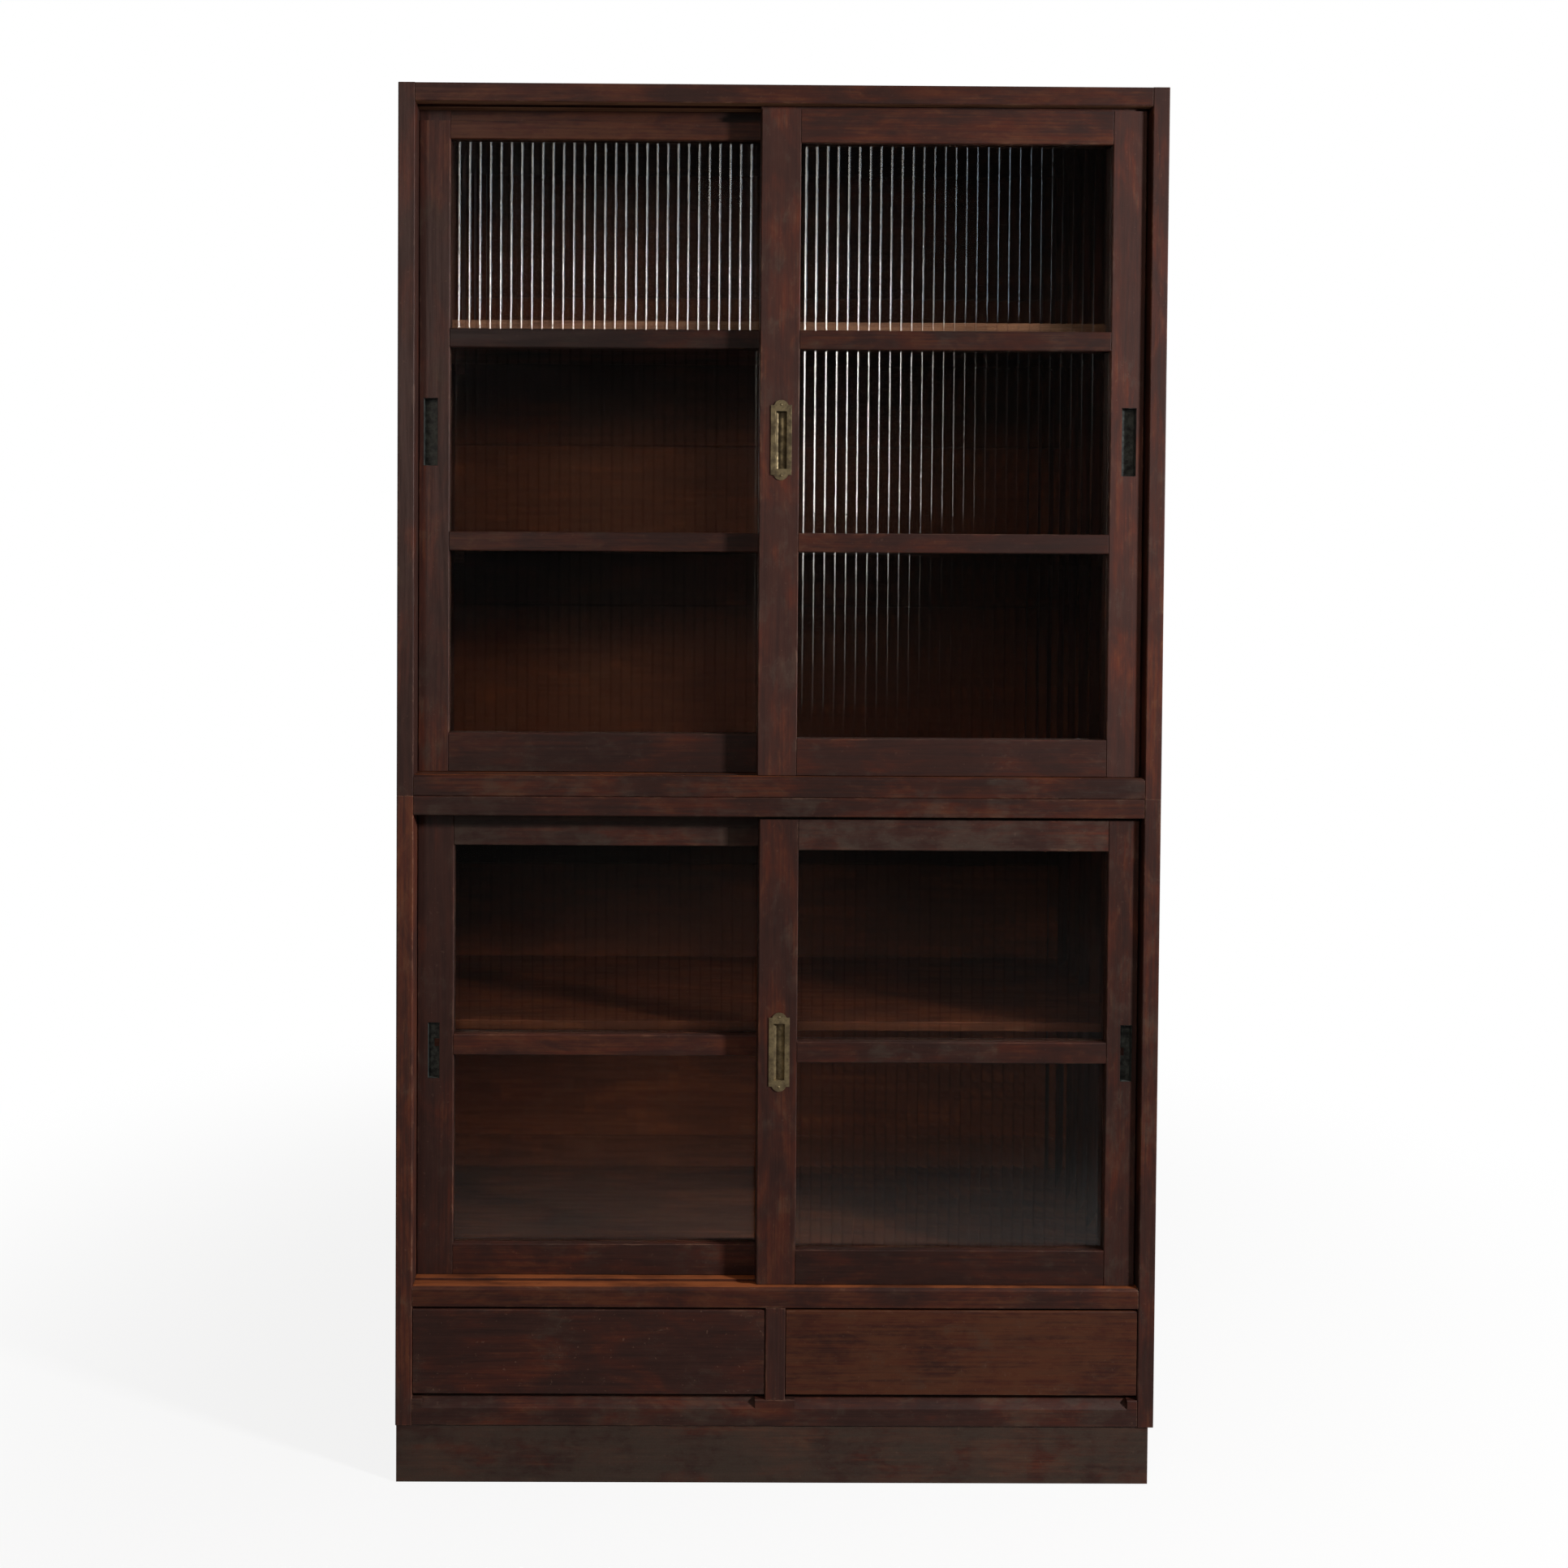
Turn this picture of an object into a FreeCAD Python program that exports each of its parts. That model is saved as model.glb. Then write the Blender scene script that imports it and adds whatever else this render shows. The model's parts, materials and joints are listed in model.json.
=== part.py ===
import FreeCAD, Part

import os

import Sketcher

# A two-tier sliding-door glass cabinet on a plinth. Sizes are in millimetres.
# The frame: +X to the right, +Y to the back, +Z up, origin under the middle of the footprint.
# Each piece is drawn from its own lower left front corner and then placed in the case or on its door.

SIZES = (
    ("cabinet_width", 909, "three shaku over the sides"),
    ("cabinet_depth", 380, "front edge of the sides to their back edge"),
    ("plinth_height", 70, "plinth boards"),
    ("lower_height", 755.5, "lower unit, bottom of its sides to their top"),
    ("upper_height", 841.5, "upper unit, bottom of its sides to their top"),
    ("side_thickness", 20, "solid side boards"),
    ("board_thickness", 12, "floor, top, bottom boards and shelves"),
    ("back_thickness", 9, "horizontal back boards"),
    ("back_rebate", 8, "how far the back boards lap into each side"),
    ("back_seam", 0.5, "gap between two back boards"),
    ("arris", 1, "broken edge along case and door members"),
    ("plinth_thickness", 20, "plinth boards"),
    ("plinth_left_inset", 1, "plinth behind the left side's face"),
    ("plinth_right_inset", 6, "plinth behind the right side's face"),
    ("plinth_front_inset", 2, "plinth behind the front edge of the sides"),
    ("plinth_back_inset", 12, "plinth in front of the back edge of the sides"),
    ("door_setback", 8, "face of a front door behind the front edge of the sides"),
    ("door_thickness", 20, "door frames"),
    ("door_spacing", 4, "air between the front and the back door"),
    ("track_width", 10, "sliding grooves"),
    ("track_back_margin", 6, "rail behind the back door"),
    ("board_housing", 8, "lap of floor and top boards on the rails"),
    ("upper_head_height", 22, "upper head rail"),
    ("upper_head_groove", 10, "depth of its grooves"),
    ("upper_sill_height", 25, "upper sill rail"),
    ("lower_head_height", 23, "lower head rail"),
    ("lower_head_groove", 9.5, "depth of its grooves"),
    ("lower_sill_height", 24.5, "lower sill rail"),
    ("sill_groove", 3, "depth of the grooves in both sills"),
    ("sill_arris", 3, "broken front edge of both sills"),
    ("door_running_gap", 0.3, "door above the bottom of its sill groove"),
    ("door_shoulder_gap", 0.7, "door shoulder above the sill"),
    ("door_lift_gap", 4, "door shoulder under the head rail"),
    ("tall_lift_gap", 13.5, "the same for the upper left door, which was cut down"),
    ("door_head_lap", 5, "top tongue inside the head groove"),
    ("door_tongue_play", 0.3, "tongue to each wall of its groove"),
    ("door_end_gap", 0.5, "closed door to the side board"),
    ("upper_rest_gap", 4, "upper front door short of closed"),
    ("lower_rest_gap", 3, "lower front door short of closed"),
    ("upper_door_overlap", 45, "closed upper doors across each other"),
    ("lower_door_overlap", 41, "closed lower doors across each other"),
    ("upper_back_stile", 37, "outer stile of the upper left door"),
    ("upper_front_stile", 40, "outer stile of the upper right door"),
    ("lower_back_stile", 44, "outer stile of the lower left door"),
    ("lower_front_stile", 37, "outer stile of the lower right door"),
    ("meeting_stile", 47, "inner stile of a front door"),
    ("hidden_stile", 42, "inner stile of a back door"),
    ("upper_back_bottom_rail", 46.5, "rail heights, between the shoulders"),
    ("upper_front_bottom_rail", 44, "bottom rail of the upper right door"),
    ("upper_mid_rail", 23, "both middle rails of an upper door"),
    ("upper_low_mid_rise", 266, "lower middle rail above the bottom shoulder"),
    ("upper_back_high_mid_rise", 510, "upper middle rail, left door"),
    ("upper_front_high_mid_rise", 506.5, "upper middle rail, right door"),
    ("upper_back_top_rail", 21.5, "top rail of the upper left door"),
    ("upper_front_top_rail", 39.5, "top rail of the upper right door"),
    ("lower_back_bottom_rail", 37.5, "bottom rail of the lower left door"),
    ("lower_front_bottom_rail", 42, "bottom rail of the lower right door"),
    ("lower_mid_rail", 25.5, "middle rail of a lower door"),
    ("lower_mid_rise", 268, "middle rail above the bottom shoulder"),
    ("lower_top_rail", 37, "top rail of a lower door"),
    ("glass_lip", 8, "frame in front of the glass"),
    ("glass_rebate", 8, "width of the rebate for the glass"),
    ("glass_edge", 7, "glass held in the rebate"),
    ("glass_thickness", 4, "flute crest to the flat back"),
    ("glass_play", 0.2, "glass to lip and to beads"),
    ("flute_pitch", 12.7, "one flute"),
    ("flute_rise", 0.9, "crest above the valley"),
    ("tenon_length", 24, "rail tenon in the stile, from the inner edge"),
    ("tenon_thickness", 6, "rail tenon"),
    ("tenon_margin", 10, "tenon to the outer edge of a top or bottom rail"),
    ("tenon_play", 0.1, "tenon to each wall of its mortise"),
    ("upper_back_pull_rise", 408.5, "middle of a door's pulls above the bottom shoulder"),
    ("upper_front_pull_rise", 399, "middle of a door's pulls above the bottom shoulder"),
    ("lower_back_pull_rise", 273.5, "middle of a door's pulls above the bottom shoulder"),
    ("lower_front_pull_rise", 281, "middle of a door's pulls above the bottom shoulder"),
    ("upper_pull_height", 81, "recess cut in an outer stile"),
    ("lower_pull_height", 68, "recess cut in an outer stile"),
    ("upper_pull_width", 17, "recess cut in an outer stile"),
    ("lower_pull_width", 14, "recess cut in an outer stile"),
    ("upper_pull_margin", 14, "recess to the glass edge of its stile"),
    ("lower_pull_margin", 17, "recess to the glass edge of its stile"),
    ("pull_depth", 9, "recess cut in an outer stile"),
    ("plate_width", 25, "brass pull"),
    ("plate_length", 95, "over its round ends"),
    ("plate_thickness", 1.2, "proud of the stile"),
    ("plate_lobe", 6, "round end beyond the square shoulders"),
    ("plate_lobe_radius", 9, "round end"),
    ("plate_offset", 2, "plate to the right of the stile's middle"),
    ("cup_width", 13, "clear inside"),
    ("cup_length", 68, "clear inside"),
    ("cup_depth", 7, "from the plate's face"),
    ("cup_wall", 1, "sheet brass"),
    ("cup_play", 0.2, "cup to its mortise"),
    ("cup_backing", 1, "wood between the cup's mortise and the tenons"),
    ("shelf_front_gap", 2, "shelf edge behind the rails"),
    ("shelf_end_gap", 0.5, "shelf end to the side board"),
    ("upper_low_shelf_rise", 268.5, "shelf underside above the floor board"),
    ("upper_high_shelf_rise", 536, "shelf underside above the floor board"),
    ("lower_shelf_rise", 291.5, "shelf underside above the floor board"),
    ("cleat_width", 10, "shelf cleats"),
    ("cleat_height", 15, "shelf cleats"),
    ("drawer_rail_height", 32.5, "rail under the drawers"),
    ("drawer_rail_depth", 45, "rail under the drawers"),
    ("drawer_opening_height", 110.5, "rail to sill"),
    ("divider_width", 24, "post between the drawers"),
    ("finger_groove", 11, "slanted groove in the rail under each drawer"),
    ("finger_groove_margin", 12, "uncut end of the groove"),
    ("runner_width", 25, "each drawer side rides on this strip"),
    ("guide_height", 12, "guide strip between the drawers"),
    ("drawer_setback", 1.5, "drawer face behind the front edge of the sides"),
    ("drawer_side_gap", 0.8, "drawer to the side board, post and guide"),
    ("drawer_gap_below", 5, "finger gap under the drawer front"),
    ("drawer_gap_above", 3.2, "drawer front to sill"),
    ("drawer_running_gap", 0.3, "drawer sides above the runners"),
    ("drawer_front_thickness", 20, "drawer front"),
    ("drawer_stop_gap", 0.5, "drawer sides to the back boards that stop them"),
    ("drawer_side_thickness", 10, "sides and back"),
    ("drawer_side_drop", 8, "side below the top of the front"),
    ("drawer_lap", 12, "side let into the end of the front"),
    ("drawer_bottom_thickness", 5, "panel in grooves"),
    ("drawer_bottom_rise", 10, "panel above the bottom of the sides"),
    ("drawer_groove_depth", 5, "grooves for the panel"),
    ("drawer_play", 0.2, "panel to its grooves"),
    ("drawer_back_drop", 6, "back below the top of the sides"),
)

# Where the seams between the back boards lie, as shares of a unit's height.
UPPER_SEAM_SHARES = (0.26, 0.53, 0.78)
LOWER_SEAM_SHARES = (0.28, 0.55, 0.8)

doc = FreeCAD.newDocument("display_cabinet")
sheet = doc.addObject("Spreadsheet::Sheet", "Sizes")
for row, (alias, number, note) in enumerate(SIZES, start=1):
    sheet.set(f"A{row}", alias)
    sheet.set(f"B{row}", str(number))
    sheet.set(f"C{row}", note)
    sheet.setAlias(f"B{row}", alias)
layout_sheet = doc.addObject("Spreadsheet::Sheet", "Layout")
doc.recompute()


class Size:
    """A length that knows its number and the sum of sheet cells that gives it."""

    def __init__(self, value, text):
        self.value = value
        self.text = text

    def __add__(self, other):
        other = as_size(other)
        return Size(self.value + other.value, f"({self.text} + {other.text})")

    def __sub__(self, other):
        other = as_size(other)
        return Size(self.value - other.value, f"({self.text} - {other.text})")

    def __mul__(self, share):
        return Size(self.value * share, f"({self.text} * {share})")

    def __truediv__(self, count):
        return Size(self.value / count, f"({self.text} / {count})")

    def __neg__(self):
        return Size(-self.value, f"(-{self.text})")

    __rmul__ = __mul__


def as_size(number):
    """Let a plain zero stand where a size is asked for."""
    return number if isinstance(number, Size) else Size(float(number), str(number))


def size(alias):
    """Read one driving dimension from the sheet."""
    return Size(float(sheet.get(alias)), f"Sizes.{alias}")


layout_names = []


def layout(alias, total):
    """Write a worked-out place or size into the second sheet under its own name."""
    layout_names.append(alias)
    row = len(layout_names)
    layout_sheet.set(f"A{row}", alias)
    layout_sheet.set(f"B{row}", f"={total.text}")
    layout_sheet.setAlias(f"B{row}", alias)
    return Size(total.value, f"Layout.{alias}")


def plane_of(body, role):
    """Find one of the body's own origin planes."""
    return next(item for item in body.Origin.OriginFeatures if item.Role == role)


def anchor(sketch, line, end, axis, distance):
    """Fix one end of a line at a bound distance from a sketch axis."""
    if distance.value == 0:
        across = -2 if axis == "DistanceX" else -1
        sketch.addConstraint(Sketcher.Constraint("PointOnObject", line, end, across))
        return
    rule = Sketcher.Constraint(axis, -1, 1, line, end, distance.value)
    index = sketch.addConstraint(rule)
    sketch.setExpression(f"Constraints[{index}]", distance.text)


def add_loop(sketch, points):
    """Draw a closed loop of lines whose corners are bound to sizes."""
    points = [(as_size(u), as_size(v)) for u, v in points]
    first = sketch.GeometryCount
    count = len(points)
    for index, (u, v) in enumerate(points):
        next_u, next_v = points[(index + 1) % count]
        start = FreeCAD.Vector(u.value, v.value, 0)
        end = FreeCAD.Vector(next_u.value, next_v.value, 0)
        sketch.addGeometry(Part.LineSegment(start, end), False)
    for index in range(count):
        after = first + (index + 1) % count
        sketch.addConstraint(Sketcher.Constraint("Coincident", first + index, 2, after, 1))
    anchor(sketch, first, 1, "DistanceX", points[0][0])
    anchor(sketch, first, 1, "DistanceY", points[0][1])
    for index in range(1, count):
        u, v = points[index]
        before_u, before_v = points[index - 1]
        if u.text == before_u.text:
            sketch.addConstraint(Sketcher.Constraint("Vertical", first + index - 1))
        else:
            anchor(sketch, first + index, 1, "DistanceX", u)
        if v.text == before_v.text:
            sketch.addConstraint(Sketcher.Constraint("Horizontal", first + index - 1))
        else:
            anchor(sketch, first + index, 1, "DistanceY", v)


def new_sketch(body, name, role, offset=0):
    """Start a sketch on an origin plane of the body, moved along the plane's normal."""
    sketch = body.newObject("Sketcher::SketchObject", f"{body.Name}_{name}")
    sketch.AttachmentSupport = (plane_of(body, role), [""])
    sketch.MapMode = "FlatFace"
    sketch.setExpression("AttachmentOffset.Base.z", as_size(offset).text)
    return sketch


def loops(body, name, role, outlines, offset=0):
    """Sketch one or more closed outlines."""
    sketch = new_sketch(body, name, role, offset)
    for points in outlines:
        add_loop(sketch, points)
    return sketch


def rectangle(u, v, width, height):
    """Corner points of a rectangle from its lower left corner."""
    u, v = as_size(u), as_size(v)
    return ((u, v), (u + width, v), (u + width, v + height), (u, v + height))


def pad(body, sketch, length, backwards=False):
    """Pad a sketch along its plane's normal, or against it."""
    feature = body.newObject("PartDesign::Pad", sketch.Name + "_pad")
    feature.Profile = sketch
    feature.setExpression("Length", length.text)
    feature.Reversed = backwards
    return feature


def pocket(body, sketch, depth=None, backwards=False):
    """Cut a sketch into the body: against the normal, along it, or both ways right through."""
    feature = body.newObject("PartDesign::Pocket", sketch.Name + "_cut")
    feature.Profile = sketch
    if depth is None:
        feature.Type = "ThroughAll"
        feature.SideType = "Symmetric"
    else:
        feature.setExpression("Length", depth.text)
        feature.Reversed = backwards
    return feature


def new_body(label):
    """Start a piece of its own."""
    body = doc.addObject("PartDesign::Body", label)
    body.Label = label
    return body


def place(piece, x, y, z):
    """Bind a piece's own origin to its place."""
    for axis, distance in (("x", x), ("y", y), ("z", z)):
        piece.setExpression(f"Placement.Base.{axis}", as_size(distance).text)


pieces = []


def keep(piece, x, y, z):
    """Place a finished piece and list it for its own file."""
    place(piece, x, y, z)
    pieces.append(piece)
    return piece


def box(name, x, y, z, width, depth, height):
    """A plain squared board or strip."""
    board = doc.addObject("Part::Box", name)
    board.Label = name
    board.setExpression("Length", width.text)
    board.setExpression("Width", depth.text)
    board.setExpression("Height", height.text)
    place(board, x, y, z)
    return board


def group(label, members):
    """Several separate solids that share one name."""
    compound = doc.addObject("Part::Compound", label)
    compound.Label = label
    compound.Links = members
    return compound


# Places that several pieces share.
arris = size("arris")
side_thickness = size("side_thickness")
board_thickness = size("board_thickness")
back_thickness = size("back_thickness")
cabinet_depth = size("cabinet_depth")
door_thickness = size("door_thickness")
plinth_height = size("plinth_height")
sill_groove = size("sill_groove")
track_pitch = layout("track_pitch", door_thickness + size("door_spacing"))
rail_depth = layout(
    "rail_depth",
    size("door_setback") + track_pitch + door_thickness + size("track_back_margin"),
)
front_face = layout("front_face", -cabinet_depth / 2)
left_face = layout("left_face", -size("cabinet_width") / 2)
left_inside = layout("left_inside", left_face + side_thickness)
inner_width = layout("inner_width", size("cabinet_width") - 2 * side_thickness)
right_inside = layout("right_inside", left_inside + inner_width)
back_inside = layout("back_inside", front_face + cabinet_depth - back_thickness)
boards_front = layout("boards_front", front_face + rail_depth - size("board_housing"))
boards_depth = layout("boards_depth", back_inside - boards_front)
drawer_rail_top = layout("drawer_rail_top", plinth_height + size("drawer_rail_height"))
lower_sill_base = layout("lower_sill_base", drawer_rail_top + size("drawer_opening_height"))
lower_sill_top = layout("lower_sill_top", lower_sill_base + size("lower_sill_height"))
lower_top = layout("lower_top", plinth_height + size("lower_height"))
lower_head_base = layout("lower_head_base", lower_top - size("lower_head_height"))
upper_sill_top = layout("upper_sill_top", lower_top + size("upper_sill_height"))
upper_top = layout("upper_top", lower_top + size("upper_height"))
upper_head_base = layout("upper_head_base", upper_top - size("upper_head_height"))


def cup_outside():
    """Width, length and depth of the brass cup behind its plate."""
    wall = size("cup_wall")
    width = size("cup_width") + 2 * wall
    length = size("cup_length") + 2 * wall
    depth = size("cup_depth") - size("plate_thickness") + wall
    return width, length, depth


cup_mortise_depth = layout("cup_mortise_depth", cup_outside()[2] + size("cup_play"))
tenon_setback = layout("tenon_setback", cup_mortise_depth + size("cup_backing"))


def build_plinth():
    """Front and back boards run past the two short side boards."""
    thickness = size("plinth_thickness")
    left = left_face + size("plinth_left_inset")
    width = size("cabinet_width") - size("plinth_left_inset") - size("plinth_right_inset")
    front = front_face + size("plinth_front_inset")
    depth = cabinet_depth - size("plinth_front_inset") - size("plinth_back_inset")
    between = depth - 2 * thickness
    front_board = new_body("plinth_front_board")
    profile = (
        (arris, 0),
        (thickness, 0),
        (thickness, plinth_height),
        (arris, plinth_height),
        (0, plinth_height - arris),
        (0, arris),
    )
    pad(front_board, loops(front_board, "profile", "YZ_Plane", [profile]), width)
    back_board = box(
        "plinth_back_board", 0, depth - thickness, 0, width, thickness, plinth_height
    )
    left_board = box("plinth_left_board", 0, thickness, 0, thickness, between, plinth_height)
    right_board = box(
        "plinth_right_board", width - thickness, thickness, 0, thickness, between, plinth_height
    )
    members = [front_board, back_board, left_board, right_board]
    keep(group("plinth_frame", members), left, front, 0)


def build_side(label, x, z, height, rebate_on_right):
    """A side board: broken front edges and a rebate for the back boards."""
    rebate = size("back_rebate")

    def across(u):
        return as_size(u) if rebate_on_right else side_thickness - u

    shoulder = cabinet_depth - back_thickness
    section = (
        (across(arris), as_size(0)),
        (across(side_thickness - arris), as_size(0)),
        (across(side_thickness), arris),
        (across(side_thickness), shoulder),
        (across(side_thickness - rebate), shoulder),
        (across(side_thickness - rebate), cabinet_depth),
        (across(0), cabinet_depth),
        (across(0), arris),
    )
    body = new_body(label)
    pad(body, loops(body, "section", "XY_Plane", [section]), height)
    keep(body, x, front_face, z)


def track_edges():
    """Front and back wall of both sliding grooves, from the front of the rail."""
    width = size("track_width")
    first = size("door_setback") + door_thickness / 2 - width / 2
    return first, first + width, first + track_pitch, first + track_pitch + width


def build_head(label, z, height, groove):
    """A head rail: two deep grooves below and a rebate for the top board behind."""
    first, first_end, second, second_end = track_edges()
    ledge = height - board_thickness
    lap = rail_depth - size("board_housing")
    section = (
        (arris, 0),
        (first, 0),
        (first, groove),
        (first_end, groove),
        (first_end, 0),
        (second, 0),
        (second, groove),
        (second_end, groove),
        (second_end, 0),
        (rail_depth, 0),
        (rail_depth, ledge),
        (lap, ledge),
        (lap, height),
        (arris, height),
        (0, height - arris),
        (0, arris),
    )
    body = new_body(label)
    pad(body, loops(body, "section", "YZ_Plane", [section]), inner_width)
    keep(body, left_inside, front_face, z)


def build_sill(label, z, height):
    """A sill rail: two shallow grooves above and a rebate for the floor board behind."""
    first, first_end, second, second_end = track_edges()
    floor = height - sill_groove
    ledge = height - board_thickness
    lap = rail_depth - size("board_housing")
    edge = size("sill_arris")
    section = (
        (arris, 0),
        (rail_depth, 0),
        (rail_depth, ledge),
        (lap, ledge),
        (lap, height),
        (second_end, height),
        (second_end, floor),
        (second, floor),
        (second, height),
        (first_end, height),
        (first_end, floor),
        (first, floor),
        (first, height),
        (edge, height),
        (0, height - edge),
        (0, arris),
    )
    body = new_body(label)
    pad(body, loops(body, "section", "YZ_Plane", [section]), inner_width)
    keep(body, left_inside, front_face, z)


def build_level_board(label, top):
    """A floor or top board, lapped on the rail in front and stopped by the back boards."""
    board = box(label, 0, 0, 0, inner_width, boards_depth, board_thickness)
    keep(board, left_inside, boards_front, top - board_thickness)


def build_back_boards(label, z, height, seam_shares):
    """Horizontal boards laid in the rebates of the two sides."""
    seam = size("back_seam")
    lap = size("back_rebate")
    lows = [as_size(0)] + [height * share + seam / 2 for share in seam_shares]
    highs = [height * share - seam / 2 for share in seam_shares] + [height]
    boards = []
    for number, (low, high) in enumerate(zip(lows, highs), start=1):
        name = f"{label}_{number}"
        width = inner_width + 2 * lap
        boards.append(box(name, 0, 0, low, width, back_thickness, high - low))
    keep(group(label, boards), left_inside - lap, back_inside, z)


def shelf_body(label):
    """One shelf with broken front edges."""
    front = rail_depth + size("shelf_front_gap")
    depth = cabinet_depth - back_thickness - front
    section = (
        (arris, 0),
        (depth, 0),
        (depth, board_thickness),
        (arris, board_thickness),
        (0, board_thickness - arris),
        (0, arris),
    )
    body = new_body(label)
    length = inner_width - 2 * size("shelf_end_gap")
    pad(body, loops(body, "section", "YZ_Plane", [section]), length)
    return body, front


def build_shelves():
    """Two shelves above, one below, each on a pair of cleats."""
    end_gap = size("shelf_end_gap")
    lower_shelf, front = shelf_body("lower_shelf")
    lower_rise = lower_sill_top + size("lower_shelf_rise")
    keep(lower_shelf, left_inside + end_gap, front_face + front, lower_rise)
    rises = [upper_sill_top + size(f"upper_{level}_shelf_rise") for level in ("low", "high")]
    boards = []
    for level, rise in zip(("low", "high"), rises):
        body, front = shelf_body(f"upper_{level}_shelf")
        place(body, 0, 0, rise - upper_sill_top)
        boards.append(body)
    shelves = group("upper_shelves", boards)
    keep(shelves, left_inside + end_gap, front_face + front, upper_sill_top)
    width = size("cleat_width")
    height = size("cleat_height")
    depth = back_inside - front_face - front
    cleats = []
    for number, rise in enumerate([lower_rise] + rises, start=1):
        for side, x in (("left", as_size(0)), ("right", inner_width - width)):
            name = f"{side}_cleat_{number}"
            cleats.append(box(name, x, 0, rise - height, width, depth, height))
    keep(group("shelf_cleats", cleats), left_inside, front_face + front, 0)


def build_drawer_frame():
    """Bottom board, rail with finger grooves, post and runners."""
    rail_height = size("drawer_rail_height")
    depth = size("drawer_rail_depth")
    post = size("divider_width")
    opening = drawer_opening_width
    groove = size("finger_groove")
    margin = size("finger_groove_margin")
    section = (
        (arris, 0),
        (depth, 0),
        (depth, rail_height),
        (arris, rail_height),
        (0, rail_height - arris),
        (0, arris),
    )
    rail = new_body("drawer_rail")
    pad(rail, loops(rail, "section", "YZ_Plane", [section]), inner_width)
    wedge = ((0, rail_height - groove), (groove, rail_height), (0, rail_height))
    for side, start in (("left", as_size(0)), ("right", opening + post)):
        end = start + opening - margin
        sketch = loops(rail, f"{side}_groove", "YZ_Plane", [wedge], end)
        pocket(rail, sketch, opening - 2 * margin)
    keep(rail, left_inside, front_face, plinth_height)

    behind = front_face + depth
    length = back_inside - behind
    board = box("lower_bottom_board", 0, 0, 0, inner_width, length, board_thickness)
    keep(board, left_inside, behind, plinth_height)

    divider = new_body("drawer_divider")
    section = (
        (arris, 0),
        (post - arris, 0),
        (post, arris),
        (post, depth),
        (0, depth),
        (0, arris),
    )
    height = size("drawer_opening_height")
    pad(divider, loops(divider, "section", "XY_Plane", [section]), height)
    keep(divider, left_inside + opening, front_face, drawer_rail_top)

    strip = size("runner_width")
    thickness = rail_height - board_thickness
    left = box("left_runner", 0, 0, 0, strip, length, thickness)
    right = box("right_runner", inner_width - strip, 0, 0, strip, length, thickness)
    middle = box(
        "middle_runner", opening - strip, 0, 0, post + 2 * strip, length, thickness
    )
    guide = box("drawer_guide", opening, 0, thickness, post, length, size("guide_height"))
    centre = doc.addObject("Part::Fuse", "centre_runner")
    centre.Base = middle
    centre.Tool = guide
    runners = group("drawer_runners", [left, right, centre])
    keep(runners, left_inside, behind, plinth_height + board_thickness)


drawer_opening_width = layout("drawer_opening_width", (inner_width - size("divider_width")) / 2)
drawer_width = layout("drawer_width", drawer_opening_width - 2 * size("drawer_side_gap"))
drawer_front_height = layout(
    "drawer_front_height",
    size("drawer_opening_height") - size("drawer_gap_below") - size("drawer_gap_above"),
)
drawer_length = layout(
    "drawer_length",
    cabinet_depth - size("drawer_setback") - back_thickness - size("drawer_stop_gap"),
)


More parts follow.
